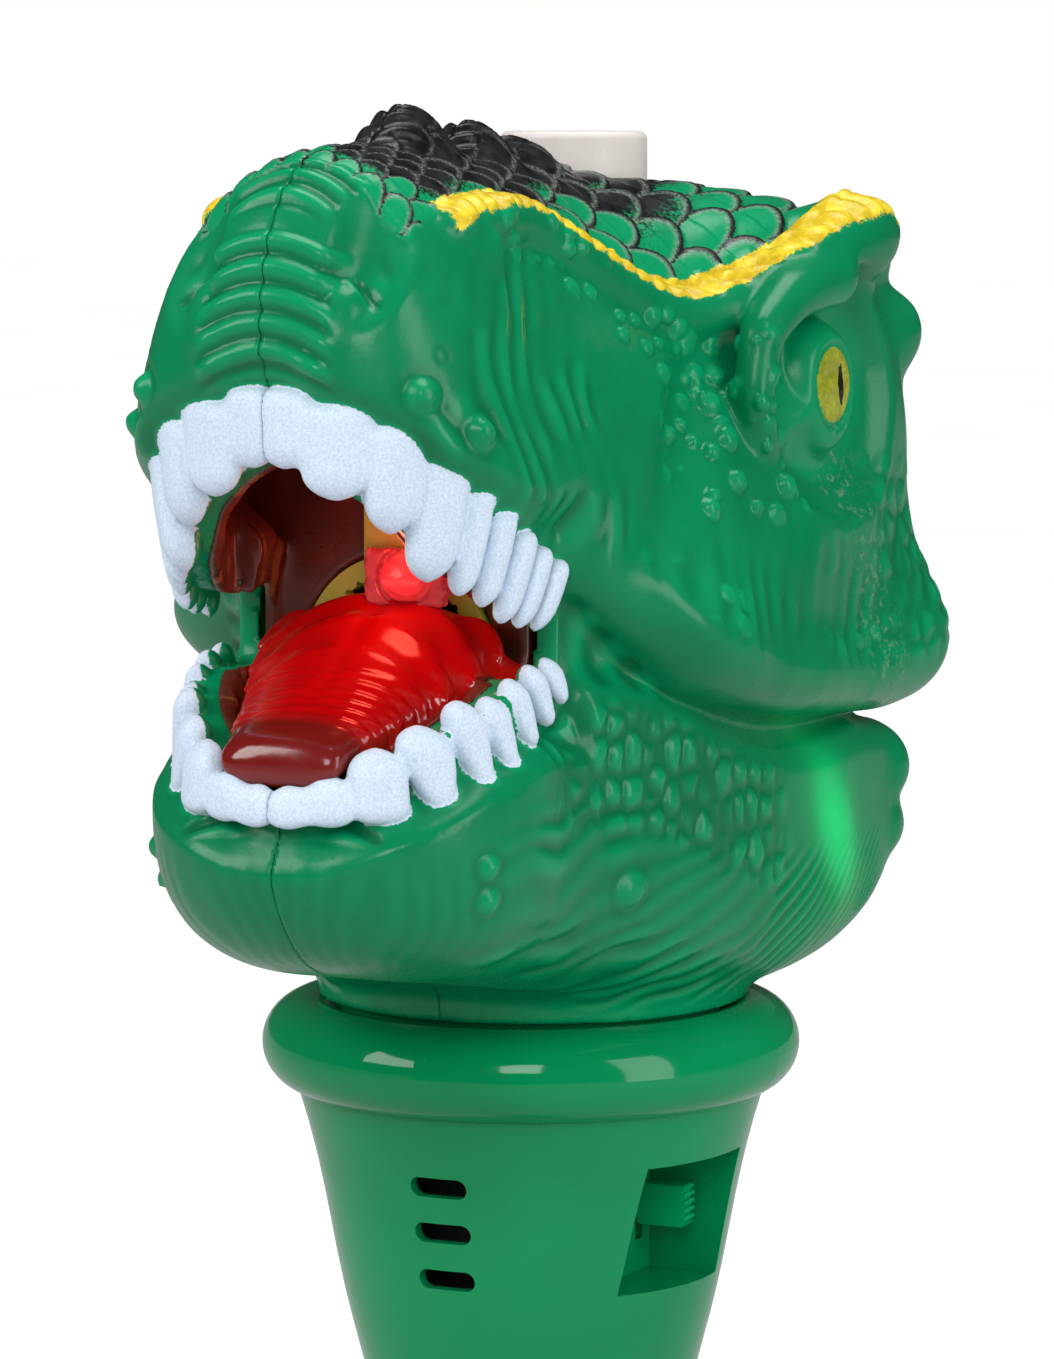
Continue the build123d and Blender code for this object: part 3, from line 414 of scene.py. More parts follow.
def teeth_field(grid, upper):
    """Distance field of one jaw's teeth on one side, where it is small."""
    field = np.full(grid.shape, 9.0, np.float32)
    place = row_path(UPPER_ROW if upper else LOWER_ROW)
    for s, root_z, tip_z, lean, width, thick in UPPER_TEETH if upper else LOWER_TEETH:
        centre = place(s)
        row_way = place(s + 1.5) - place(s - 1.5)  # direction of the row, away from the middle
        row_way /= np.linalg.norm(row_way)
        outward = np.array([-row_way[1], row_way[0]])
        length = abs(tip_z - root_z) / 2
        way = 1.0 if tip_z > root_z else -1.0
        middle = (root_z + tip_z) / 2
        reach = width / 2 + abs(lean) + 4
        cut, x, f, z = grid.window((centre[0] - reach, centre[1] - reach, middle - length - 3),
                                   (centre[0] + reach, centre[1] + reach, middle + length + 3))
        rise = way * (z - middle)  # from -length at the root to length at the tip
        share = np.clip((rise + length) / (2 * length), -0.2, 1.2)
        u = (x - centre[0]) * row_way[0] + (f - centre[1]) * row_way[1] - lean * (share - 0.5)
        v = (x - centre[0]) * outward[0] + (f - centre[1]) * outward[1]
        share = np.clip(share, 0, 1)
        if upper:
            v = v + 1.6 * share ** 2 * step(14, 26, s) + 1.3
            half = width / 2 * (1.0 - 0.25 * share ** 3)
            deep = thick / 2 * (1.0 - 0.28 * share ** 2)
        else:
            v = v + 1.0 * share - 0.4
            half = width / 2 * (0.55 + 0.45 * step(0, 0.7, share)) if s > 20 else width / 2 + 0 * share
            deep = thick / 2 * (0.85 + 0.15 * share)
        section = ((np.abs(u) / half) ** SQUARE + (np.abs(v) / deep) ** SQUARE + 1e-9) ** (1 / SQUARE) - 1
        tooth = smooth_max(section * np.minimum(half, deep), rise - length, min(width, thick) * 0.85)
        tooth = smooth_max(tooth, -rise - length, 2.6)
        field[cut] = smooth_min(field[cut], tooth, 1.1 if s < 14 else 0.25)
    return field


# ---------------------------------------------------------------- head: skin detail
def near_cells(q, margin, seed):
    """The 27 lattice cells around each point, with its distance from a jittered spot in each."""
    home = np.floor(q).astype(np.int64).T
    for shift in itertools.product((-1, 0, 1), repeat=3):
        cell = [h + s for h, s in zip(home, shift)]
        spot = [c + margin + (1 - 2 * margin) * hashed(*cell, seed + axis) for axis, c in enumerate(cell)]
        yield cell, np.linalg.norm(q - np.column_stack(spot), axis=1)


def domes(points, size, seed, stretch=(1, 1, 1)):
    """Rounded bumps side by side: 1 at the top of a bump, 0 in the grooves."""
    first = second = np.full(len(points), 9.0)
    for _, gap in near_cells(points / (np.array(stretch) * size), 0.2, seed):
        second = np.minimum(second, np.maximum(first, gap))
        first = np.minimum(first, gap)
    return step(0.0, 0.6, second - first) * np.clip(1 - 0.9 * first ** 2, 0, 1)


def pips(points, size, seed):
    """Separate round bumps of several sizes, up to 1 high on a flat ground of 0."""
    nearest = np.full(len(points), 9.0)
    for cell, gap in near_cells(points / size, 0.15, seed):
        nearest = np.minimum(nearest, gap / (0.34 + 0.16 * hashed(*cell, seed + 3)))
    return np.sqrt(np.clip(1 - nearest ** 2, 0, 1)) * step(1.0, 0.75, nearest)


def ridges(where, pitch, sharp=1.0):
    """Parallel rounded ridges, 1 on a crest and 0 in a groove."""
    return (0.5 + 0.5 * np.cos(2 * math.pi * where / pitch)) ** sharp


def within(value, low, high, soft):
    """1 between low and high and 0 outside, over a soft edge."""
    return step(low - soft, low + soft, value) * (1 - step(high - soft, high + soft, value))


def leaf_scales(x, f):
    """Overlapping leaf-shaped scales that point rearwards and grow towards the rear.

    Gives their height, how far inside a scale each point is, and how dark its scale is painted.
    """
    growth = 0.052
    start = 76.0
    first_pitch = 4.4
    pitch = first_pitch + growth * (start - f)
    rows = np.log(np.maximum(pitch, 0.5) / first_pitch) / growth
    side_pitch = 4.0 + 0.032 * (start - f)
    height = np.zeros(len(x))
    inside = np.full(len(x), -1.0)
    darkness = np.zeros(len(x))
    for back, side in itertools.product((0, 1, 2), (0, 1)):
        row = np.floor(rows) - back
        lateral = x / side_pitch + 0.5 * np.mod(row, 2)
        column = np.floor(lateral) + side
        chance = hashed(row.astype(np.int64), column.astype(np.int64), 0, 5)
        w = (lateral - column) / (0.62 + 0.1 * chance)
        q = (rows - row) - 0.85 + 0.25 * (chance - 0.5)
        edge = 1 - np.sqrt(w ** 2 + (q / 0.95) ** 2)
        rise = step(0, 0.16, edge) * (0.55 + 0.42 * np.clip(q + 0.7, 0, 1.6) - 0.25 * w ** 2 - 0.12 * back)
        better = rise > height
        height = np.where(better, rise, height)
        inside = np.where(better, edge, inside)
        darkness = np.where(better, chance, darkness)
    return height, inside, darkness


WARTS = [  # x, front, z, radius, height
    (21.9, 82.9, 283.2, 2.9, 1.6), (26.9, 75.2, 277.6, 3.0, 1.6), (24.5, 80.0, 289.0, 1.4, 0.7),
    (34.0, 37.4, 208.2, 3.6, 1.1), (27.6, 72.2, 215.4, 2.4, 1.1), (26.9, 71.0, 210.0, 2.6, 1.0),
    (29.8, 62.0, 268.2, 1.5, 0.7), (31.6, 54.5, 265.0, 1.3, 0.6),
]


def skin(points, normals):
    """Height in mm and paint masks of the head's surface detail, at points (x, front, z)."""
    x, f, z = np.abs(points[:, 0]), points[:, 1], points[:, 2]
    beyond = x - BROW_X(f)
    below = BROW_Z(f) - z
    lift = np.zeros(len(x))
    wobble = noise(x, f, z, 9.0, 3)
    fine = noise(x, f, z, 3.0, 7)
    broken = step(-0.1, 0.35, noise(x, f, z, 8.0, 13))  # where wrinkles are strong
    left = np.column_stack([x, f, z])

    # Leaf scales on the top, between the brows.
    top = step(-1.0, -2.4, beyond) * step(0.05, 0.3, normals[:, 2]) * (1 - step(4, 7, below))
    top *= step(-58, -52, f) * (1 - step(76.5, 77.5, f))
    height, inside, darkness = leaf_scales(points[:, 0], f + 0.6 * wobble)
    grow = 0.9 + 0.5 * step(60, 20, f)
    crest = np.exp(-((x / 6.5) ** 2)) * within(f, 2, 54, 3)
    lift += top * (1 - crest) * (1.9 * height - 1.1) * grow
    folds = ridges(f * 0.8 + x * 0.9 + 0.8 * wobble, 3.1, 1.2)
    lift += top * crest * (folds - 0.5) * 0.9
    gap = top * (1 - step(0.14, 0.40, inside))
    # Painted highlight: a light grey ring just inside the edge of each scale, away from the crest.
    rim = top * within(inside, 0.24, 0.36, 0.05) * (1 - crest)
    black = np.maximum(gap, top * step(0.25, 0.6, crest + 0.15 * fine))
    middle = np.exp(-((x - 2) / 14.0) ** 2) * within(f, -46, 70, 6)
    black = np.maximum(black, top * step(0.1, 0.7, middle + 0.5 * (darkness - 0.45)))

    # Plates across the front of the snout.
    plates = within(f, 76.5, 84.5, 0.6) * (1 - step(14, 17, x)) * step(0.45, 0.7, normals[:, 2])
    lift += plates * (ridges(f - 0.012 * x ** 2, 3.6, 0.8) - 0.6) * 0.9

    # Rolls up the front of the muzzle.
    arch = z + 0.030 * x ** 2
    rolls = within(arch, 285.8, 306, 1.0) * (1 - step(8.5, 11.5, x)) * step(60, 66, f)
    lift += rolls * (ridges(arch - 293.3 + 0.4 * wobble, 4.1 - 0.02 * (arch - 293), 0.8) - 0.35) * 0.95

    # Slanting and then upright wrinkles on the sides of the snout.
    slope = step(266, 292, z)
    fan = f * (1 - 0.25 * slope) + (z - 275) * (0.20 + 0.45 * slope) + 1.6 * wobble
    side = step(13, 18, x) * within(f, 42, 84, 4) * step(258, 262, z) * step(3, 9, below)
    side *= 1 - step(0.2, 0.5, np.exp(-((f - 82) ** 2 + (z - 290) ** 2) / 60.0))
    lift += side * (ridges(fan, 4.3, 0.8) - 0.5) * (0.06 + 0.42 * broken)

    # Pebbles under the brow and over the cheek, with larger warts in the middle of the cheek.
    under_brow = within(below + 0.35 * np.maximum(f - 20, 0), 2.5, 17, 2.0)
    lift += under_brow * within(f, 6, 58, 4) * step(0, 1.5, beyond) * pips(left, 4.4, 11) * 0.9
    warts = within(f, -1, 27, 2.5) * within(z, 262, 283, 2.5) * step(30, 34, x)
    lift += warts * pips(left, 5.2, 23) * 1.5

    # Upright streaks and small bumps down the cheek, fading above its smooth lower roll.
    roll = z - CHEEK_EDGE(f)
    cheek = within(f, -60, 45, 5) * step(7, 13, roll) * (1 - step(251, 262, z)) * step(20, 26, x)
    streak = f + 0.42 * (z - 250) + 2.2 * wobble
    lift += cheek * (ridges(streak, 5.4, 0.9) - 0.5) * (0.08 + 0.24 * broken)
    lift += cheek * step(0, 0.5, noise(x, f, z, 14.0, 29)) * pips(left, 4.8, 31) * 0.6
    rear = step(-18, -30, f) * within(z, 238, 300, 4)
    lift += rear * (1 - step(262, 272, z)) * (domes(left, 5.0, 41) - 0.4) * 0.35

    # Folds of the skin between the jaws.
    web = within(f, 28, 48, 2) * within(z, 236, 256, 2) * (1 - step(-5.4, -4.2, plan_at(x, f)))
    lift += web * (ridges(f + 0.1 * z, 6.2) - 0.5) * 0.45

    # Lower jaw: cells, then long wrinkles that fan out from its rear corner.
    drop = JAW_EDGE(f) - z
    jaw = step(1.5, 4, drop) * step(16, 22, x) * (roll <= 0)
    cells = jaw * within(f, 2, 56, 5) * within(drop, 4.5, 22, 2.5)
    lift += cells * (domes(left, 4.4, 53, (1, 0.9, 1.25)) - 0.35) * 0.8
    turn = np.arctan2(f + 48, 232 - z)
    jaw_fan = jaw * within(drop, 19, 70, 5) * step(-50, -30, f) * (1 - step(60, 74, f))
    lift += jaw_fan * (ridges(turn + 0.03 * wobble, 0.050, 0.8) - 0.5) * (0.18 + 0.34 * broken)
    chin = within(z, 200, 216, 3) * step(66, 74, f)
    lift += chin * (ridges(np.degrees(np.arctan2(x, f - 54)) + 5 * wobble, 7.0) - 0.5) * 0.08

    for wart_x, wart_f, wart_z, radius, tall in WARTS:
        away = np.sqrt((x - wart_x) ** 2 + (f - wart_f) ** 2 + (z - wart_z) ** 2) / radius
        lift += tall * (1 - step(0.25, 1.0, away)) - 0.12 * np.exp(-((away - 1.15) / 0.25) ** 2)

    # Brow beads and their yellow paint.
    line = np.hypot(np.maximum(beyond + 0.3, -beyond * 0.8), below * (0.6 + 0.6 * step(54, 64, f)))
    size = 3.6 + 1.4 * step(20, -20, f)
    brow = within(f, -33, 68.5, 0.8) * (1 - step(0.75, 1.1, line / size)) * (1 - step(3.0, 4.2, below))
    lift += brow * (ridges(f * 1.05 + z * 0.5, 4.2, 0.6) - 0.4)
    yellow = brow * (1 - 0.75 * step(0.1, 0.6, wobble) * step(34, 46, f))

    brush = np.exp(-((f + 22 - 0.12 * (z - 250)) / 5.0) ** 2) * within(z, 232, 276, 5)
    return lift, {"black": np.clip(black, 0, 1) * (1 - yellow), "rim": rim, "yellow": yellow, "brush": brush}


def plan_at(x, f):
    """Distance from the head's outline in plan for loose points, looked up on a fine map."""
    size = 0.5
    xs, fs = np.arange(0, 60, size), np.arange(-66, 96, size)
    chart = plan_field(xs[:, None], fs[None, :], HEAD_PLAN)
    i = np.clip((x / size).astype(int), 0, len(xs) - 1)
    j = np.clip(((f + 66) / size).astype(int), 0, len(fs) - 1)
    return chart[i, j]


# ---------------------------------------------------------------- node helpers
class Nodes:
    """Short way to build a material's node tree."""

    def __init__(self, name):
        self.material = bpy.data.materials.new(name)
        self.material.use_nodes = True
        self.tree = self.material.node_tree
        self.shader = self.tree.nodes["Principled BSDF"]
        self.place = self.add("ShaderNodeTexCoord", {})["Object"]

    def feed(self, node, inputs):
        """Link or set a node's inputs, each found by its name or number."""
        for key, value in inputs.items():
            socket = node.inputs[key]
            if isinstance(value, bpy.types.NodeSocket):
                self.tree.links.new(value, socket)
            elif socket.type == "RGBA":
                socket.default_value = (*value, 1)
            else:
                socket.default_value = value

    def add(self, kind, inputs, **settings):
        """The outputs of a new node."""
        node = self.tree.nodes.new(kind)
        for key, value in settings.items():
            setattr(node, key, value)
        self.feed(node, inputs)
        return node.outputs

    def math(self, operation, a, b=0.0, clamp=False):
        return self.add("ShaderNodeMath", {0: a, 1: b}, operation=operation, use_clamp=clamp)[0]

    def mix(self, share, a, b):
        return self.add("ShaderNodeMix", {"Factor": share, 6: a, 7: b}, data_type="RGBA")[2]

    def noise(self, scale, detail=3.0, rough=0.55, warp=0.0, stretch=None):
        place = self.add("ShaderNodeMapping", {0: self.place, "Scale": stretch})[0] if stretch else self.place
        inputs = {"Vector": place, "Scale": scale, "Detail": detail, "Roughness": rough, "Distortion": warp}
        return self.add("ShaderNodeTexNoise", inputs)[0]

    def attribute(self, name):
        return self.add("ShaderNodeAttribute", {}, attribute_name=name)["Fac"]

    def axes(self):
        """The x, y and z of the place on the object, in metres."""
        return self.add("ShaderNodeSeparateXYZ", {0: self.place})

    def spread(self, value, low=0.3, high=0.7, out_low=0.0, out_high=1.0):
        """Smooth step of a value between low and high, from out_low to out_high."""
        inputs = {"Value": value, "From Min": low, "From Max": high, "To Min": out_low, "To Max": out_high}
        return self.add("ShaderNodeMapRange", inputs, interpolation_type="SMOOTHSTEP")[0]

    def shades(self, pattern, a, b):
        """One colour where a pattern is low and another where it is high."""
        return self.mix(self.spread(pattern), a, b)

    def bump(self, height, distance, strength=1.0, after=None):
        inputs = {"Height": height, "Distance": distance, "Strength": strength}
        if after is not None:
            inputs["Normal"] = after
        return self.add("ShaderNodeBump", inputs)[0]

    def finish(self, colour, roughness, normal=None, **sockets):
        """The material, with its shader's inputs."""
        inputs = {key.replace("_", " "): value for key, value in sockets.items()}
        if normal is not None:
            inputs["Normal"] = normal
        self.feed(self.shader, {"Base Color": colour, "Roughness": roughness, **inputs})
        return self.material


def moulded(name, colour, shade, roughness, sockets={}):
    """Moulded plastic: a cloudy colour, fine orange-peel relief, smears and a few scratches."""
    n = Nodes(name)
    cloud = n.noise(38, 4, 0.6, 0.3)
    speck = n.noise(900, 2)
    tint = n.mix(n.spread(cloud, 0.32, 0.68), shade, colour)
    tint = n.mix(n.spread(speck, 0.55, 0.75, 0, 0.12), tint, tuple(min(1, c * 1.25 + 0.02) for c in colour))
    smear = n.noise(70, 5, 0.7, 1.2, (1, 1, 0.35))
    rough = n.spread(smear, 0.3, 0.75, roughness - 0.07, roughness + 0.10)
    scratch = n.noise(420, 2, 0.5, 0, (1, 1, 0.05))
    relief = n.bump(n.noise(620, 3, 0.6), 0.00004)
    relief = n.bump(n.spread(scratch, 0.68, 0.74), 0.00001, 0.4, relief)
    return n.finish(tint, rough, relief, **sockets)


def metal(name, colour, roughness, brushed=(1, 1, 0.04)):
    n = Nodes(name)
    streak = n.noise(900, 3, 0.6, 0, brushed)
    stain = n.noise(60, 4, 0.6, 0.5)
    tint = n.mix(n.spread(stain, 0.35, 0.7), tuple(0.72 * c for c in colour), colour)
    rough = n.spread(streak, 0.3, 0.7, roughness - 0.08, roughness + 0.12)
    return n.finish(tint, rough, n.bump(streak, 0.00002, 0.6), Metallic=1.0)


BODY_GREEN = (0.0002, 0.275, 0.108)
DEEP_GREEN = (0.0002, 0.215, 0.080)


def skin_material():
    """Painted head shell: green plastic with sprayed white teeth, black scales and a yellow brow, with
    painted shade in its hollows and a painted highlight round each scale's rim.
    """
    n = Nodes("head_paint")
    masks = ("tooth", "black", "yellow", "rim", "brush", "iris", "pupil", "hollow")
    tooth, black, yellow, rim, brush, iris, pupil, hollow = map(n.attribute, masks)
    cloud = n.noise(30, 4, 0.6, 0.4)
    speck = n.noise(2600, 2, 0.7)
    spray = n.noise(1500, 3, 0.8)
    green = n.shades(cloud, DEEP_GREEN, BODY_GREEN)
    # Painted shade: the green goes darker towards the bottom of the skin's grooves and hollows, and less so
    # on its raised bumps.
    green = n.mix(n.spread(hollow, 0.1, 0.9, 0, 0.75), green, (0.0003, 0.095, 0.034))
    green = n.mix(n.math("MULTIPLY", brush, n.spread(n.noise(520, 4, 0.8), 0.52, 0.66, 0, 0.55)), green,
                  (0.25, 0.32, 0.24))
    dark = n.mix(n.spread(n.noise(240, 3), 0.35, 0.7), (0.006, 0.006, 0.007), (0.022, 0.024, 0.024))
    cover = n.spread(n.math("ADD", black, n.spread(spray, 0.3, 0.7, -0.22, 0.22)), 0.35, 0.62)
    tint = n.mix(cover, green, dark)
    # Painted highlight on the scales' rims, broken up by specks.
    tint = n.mix(n.math("MULTIPLY", rim, n.spread(speck, 0.4, 0.62, 0.1, 0.8)), tint, (0.23, 0.27, 0.24))
    gold = n.mix(n.spread(n.noise(330, 3, 0.7), 0.35, 0.7), (0.52, 0.36, 0.012), (0.78, 0.60, 0.035))
    cover = n.spread(n.math("ADD", yellow, n.spread(spray, 0.3, 0.7, -0.2, 0.2)), 0.38, 0.6)
    tint = n.mix(cover, tint, gold)
    white = n.mix(n.spread(speck, 0.35, 0.65), (0.50, 0.61, 0.74), (0.64, 0.74, 0.86))
    enamel = n.spread(n.math("ADD", tooth, n.spread(spray, 0.3, 0.7, -0.2, 0.2)), 0.36, 0.60)
    tint = n.mix(enamel, tint, white)
    eye = n.mix(n.spread(n.noise(420, 4, 0.8, 0.0), 0.35, 0.7), (0.20, 0.23, 0.018), (0.36, 0.38, 0.03))
    tint = n.mix(n.spread(iris, 0.4, 0.6), tint, eye)
    tint = n.mix(n.spread(pupil, 0.4, 0.6), tint, (0.012, 0.010, 0.006))
    smear = n.noise(80, 5, 0.7, 1.0)
    rough = n.spread(smear, 0.3, 0.75, 0.19, 0.33)
    rough = n.math("ADD", rough, n.math("MULTIPLY", enamel, 0.28), clamp=True)
    rough = n.math("ADD", rough, n.math("MULTIPLY", iris, -0.15), clamp=True)
    relief = n.bump(n.noise(560, 3, 0.6), 0.00005, 1.0)
    relief = n.bump(n.math("MULTIPLY", speck, enamel), 0.00003, 0.4, relief)
    # Light of the lamps behind the jaw corners, which shines through the wall.
    x, y, z = n.axes()
    side = n.spread(n.math("ABSOLUTE", x), 0.030, 0.040)
    along = n.math("SUBTRACT", y, 0.0165)
    up = n.math("SUBTRACT", z, 0.212)
    lean = n.math("ADD", along, n.math("MULTIPLY", up, 0.42))

    def spot(width, height):
        a = n.math("POWER", n.math("DIVIDE", lean, width), 2.0)
        b = n.math("POWER", n.math("DIVIDE", up, height), 2.0)
        return n.math("POWER", 2.718, n.math("MULTIPLY", n.math("ADD", a, b), -1.0))

    core = n.math("MULTIPLY", spot(0.0068, 0.0120), side)
    halo = n.math("MULTIPLY", spot(0.022, 0.022), side)
    glow = n.math("ADD", n.math("MULTIPLY", core, 0.42), n.math("MULTIPLY", halo, 0.09))
    # The glow is dimmed under the same painted shade of the hollows.
    glow = n.math("MULTIPLY", glow, n.spread(hollow, 0.1, 1.0, 1.0, 0.7))
    lamp = n.mix(n.spread(core, 0.0, 0.7), (0.0, 0.42, 0.02), (0.0, 1.0, 0.22))
    return n.finish(tint, rough, relief, Emission_Color=lamp, Emission_Strength=glow, Specular_IOR_Level=0.24)


# ---------------------------------------------------------------- head: shells
CAP_HOLE_R = 12.1
CAP_FRONT = -16.0
NECK_BORE_R = 30.8
HEAD_SCREWS = [(72, 303), (29, 303), (-50, 250), (-43, 214), (70, 207), (41, 203)]  # front, z
SCREW_HOLE_R = 3.0


def build_head():
    grid = Grid((-1.5, -68, 182), (56, 94, 328), VOXEL)
    x, f, z = grid.x, grid.f, grid.z
    outer = head_field(grid)
    add_face_forms(grid, outer)
    gape = gape_field(grid)
    teeth = np.minimum(teeth_field(grid, True), teeth_field(grid, False))
    web = np.maximum(web_field(grid), outer + 1.0)
    lips = (1 - step(2, 9, gape)) * step(44, 50, f)
    shell = np.maximum(smooth_max(outer, -gape, 1.5), -(outer + WALL + 2.6 * lips))
    shell = np.minimum(shell, web)
    shell = np.minimum(shell, np.maximum(teeth, -outer - 8.5))
    neck_bore = np.maximum(np.hypot(x, f) - NECK_BORE_R, z - 198)
    cap_hole = np.maximum(np.hypot(x, f - CAP_FRONT) - CAP_HOLE_R, 300 - z)
    shell = np.maximum(np.maximum(shell, -neck_bore), -cap_hole)
    for middle in (0, 9):
        slot = np.maximum(np.maximum(np.abs(x - middle) - 1.5, f + 48), np.abs(z - 230) - 8)
        shell = np.maximum(shell, -slot)
    material = skin_material()
    for side, name in ((1, "head_shell_left"), (-1, "head_shell_right")):
        body = shell
        if side < 0:
            body = shell.copy()
            for front, up in HEAD_SCREWS:
                cut, x, f, z = grid.window((0, front - 6, up - 6), (60, front + 6, up + 6))
                hole = np.maximum(np.hypot(f - front, z - up) - SCREW_HOLE_R, 10 - x)
                body[cut] = np.maximum(body[cut], -hole)
        points, faces = grid.mesh(np.maximum(body, SEAM - grid.x))
        points, masks, inner = dress(grid, points, faces, outer, teeth, gape)
        if side < 0:
            points = points * np.array([-1, 1, 1])
            faces = faces[:, ::-1]
        piece = make_object("sculpted_" + name, points, faces, material, masks)
        thin_inner_skin(piece, inner)
        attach(piece, "housing")
        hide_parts(name)
    return grid, outer, gape


def dress(grid, points, faces, outer, teeth, gape):
    """Move the outer skin's points by its surface detail, and work out its paint, with the painted shade of
    its hollows.
    """
    depth = grid.sample(outer, points)
    tooth_gap = grid.sample(teeth, points)
    slope = np.column_stack([grid.sample(outer, points + step_by) - grid.sample(outer, points - step_by)
                             for step_by in np.eye(3) * 0.8])
    slope /= np.maximum(np.linalg.norm(slope, axis=1, keepdims=True), 1e-6)
    # Square up the edge along the parting plane, which the mesh grid rounds off.
    at_seam = (points[:, 0] < SEAM + 0.55) & (np.abs(depth) < 0.7) & (tooth_gap > 0.4)
    points = points - slope * (depth * at_seam)[:, None]
    points[:, 0] = np.where(points[:, 0] < SEAM + 0.3, SEAM, points[:, 0])
    depth = np.where(at_seam, 0.0, depth)
    lift, masks = skin(points, slope)
    normals = vertex_normals(points, faces)
    outside = 1 - step(0.15, 0.5, np.abs(depth))
    # Detail fades out beside the teeth, the cap, the neck and the eye.
    x, f, z = points.T
    weight = outside * step(0.1, 0.9, tooth_gap) * step(186.5, 190, z)
    weight *= step(0.2, 2.5, np.hypot(x, f - CAP_FRONT) - CAP_HOLE_R)
    eye_gap = np.hypot((f - EYE[1]) / 15, (z - EYE[2]) / 14)
    weight *= np.where(x > 30, step(0.9, 1.15, eye_gap), 1.0)
    points = points + slope * (lift * weight)[:, None]
    points[:, 0] = np.maximum(points[:, 0], SEAM)
    x, f, z = points.T
    radial = np.column_stack([x, np.maximum(f - 52, 0)])
    radial /= np.maximum(np.linalg.norm(radial, axis=1, keepdims=True), 1e-6)
    facing = (normals[:, :2] * radial).sum(axis=1)
    tooth = (1 - step(0.05, 0.3, tooth_gap)) * step(-0.35, 0.05, facing) * step(-6.0, -4.5, depth)
    masks = {key: value * outside * (1 - tooth) for key, value in masks.items()}
    masks["tooth"] = tooth
    # Painted shade of the hollows: strongest where the detail sinks the surface, none on raised bumps.
    masks["hollow"] = np.clip(0.5 - 1.1 * lift, 0, 1) * weight
    # The iris with its groove around it, and a slit pupil.
    iris = np.hypot((f - EYE[1]) / 5.2, (z - EYE[2]) / 6.0)
    slit = np.abs(f - EYE[1] + 1.6) / 0.9 + ((z - EYE[2]) / 3.6) ** 2
    at_eye = x > EYE[0] - 3.5
    masks["iris"] = (1 - step(0.94, 1.0, iris)) * at_eye
    masks["pupil"] = (1 - step(0.8, 1.2, slit)) * at_eye
    points[:, 0] = x - 0.7 * np.exp(-((iris - 1.04) / 0.08) ** 2) * at_eye
    return points, masks, (depth < -1.2) & (tooth_gap > 0.5)


def thin_inner_skin(piece, inner):
    """Fewer faces on the side of a shell that nobody sees."""
    group = piece.vertex_groups.new(name="inner")
    group.add(np.flatnonzero(inner).tolist(), 1.0, "REPLACE")
    modifier = piece.modifiers.new("thin", "DECIMATE")
    modifier.vertex_group = "inner"
    modifier.ratio = 1 - 0.88 * float(inner.mean())
    apply_modifiers(piece)
    piece.vertex_groups.clear()


def apply_modifiers(piece):
    shape = piece.evaluated_get(bpy.context.evaluated_depsgraph_get())
    mesh = bpy.data.meshes.new_from_object(shape)
    old = piece.data
    piece.modifiers.clear()
    piece.data = mesh
    mesh.name = old.name
    bpy.data.meshes.remove(old)


# ---------------------------------------------------------------- mouth parts
def mirrored(grid, field):
    """A whole field and the grid's low corner, from the left half of a symmetrical one."""
    x = grid.x[:, 0, 0]
    left = field[x > -0.01]
    right = field[x > 0.01][::-1]
    whole = Grid((-x[-1], grid.low[1], grid.low[2]), (-x[-1], grid.low[1], grid.low[2]), grid.size)
    return whole, np.concatenate([right, left])


def web_field(grid):
    """The green wall between the jaws at each corner of the mouth."""
    slab = np.maximum(np.abs(grid.f - 46.2) - 1.4, np.abs(grid.z - 246) - 13)
    return smooth_max(slab, 24.2 - np.abs(grid.x) - 0.12 * np.abs(grid.z - 246), 1.5)


def build_liner(grid, outer, gape):
    """The red-brown lining of the mouth, open to the front and to the fan's ring behind."""
    x, f, z = grid.x, grid.f, grid.z
    floor = 217.0 - z
    roof = (z - 273 - 0.42 * np.maximum(f - 46, 0)) * 0.92
    outside = smooth_max(outer + 4.6, np.maximum(np.maximum(44.5 - f, floor), roof), 1.5)
    inside = smooth_max(outer + 6.1, np.maximum(np.maximum(46 - f, floor + 1.6), roof + 1.5), 2.5)
    ribs = 0.45 * ridges(f * 0.9 + z * 0.12, 4.4) * step(-3.5, -0.5, outer + 6.1)
    ring = np.maximum(np.hypot(x, z - 242) - 15.8, f - 52)
    liner = outside
    for opening in (inside + ribs, gape + 0.3, ring, web_field(grid) - 0.4):
        liner = np.maximum(liner, -opening)
    whole, field = mirrored(grid, liner)
    points, faces = whole.mesh(field)
    n = Nodes("throat_plastic")
    cloud = n.noise(55, 4, 0.6, 0.6)
    tint = n.shades(cloud, (0.055, 0.012, 0.005), (0.15, 0.022, 0.010))
    streak = n.noise(330, 2, 0.5, 0.6, (0.3, 1, 0.22))
    tint = n.mix(n.spread(streak, 0.60, 0.66, 0, 0.5), tint, (0.34, 0.13, 0.035))
    rough = n.spread(n.noise(120, 4), 0.3, 0.7, 0.22, 0.42)
    material = n.finish(tint, rough, n.bump(n.noise(500, 3), 0.00005), Subsurface_Weight=0.15,
                        Subsurface_Scale=0.004)
    piece = make_object("mouth_lining", points, faces, material)
    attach(piece, "housing")
    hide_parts("mouth_liner")


TONGUE_HALF = curve([(44, 19.5), (50, 19.0), (58, 16.8), (66, 14.6), (73, 12.6), (79, 10.8), (84, 9.6),
                     (90, 9)], 1.5)
TONGUE_TOP = curve([(44, 253.2), (50, 252.4), (56, 249.8), (63, 245.6), (70, 241.4), (77, 237.8), (83, 235.4),
                    (90, 233)], 2)
TONGUE_THICK = curve([(44, 5.0), (60, 5.0), (72, 4.4), (79, 4.2), (90, 4.4)], 2)
TONGUE_FRONT = 86.6
TONGUE_REAR = 49.7


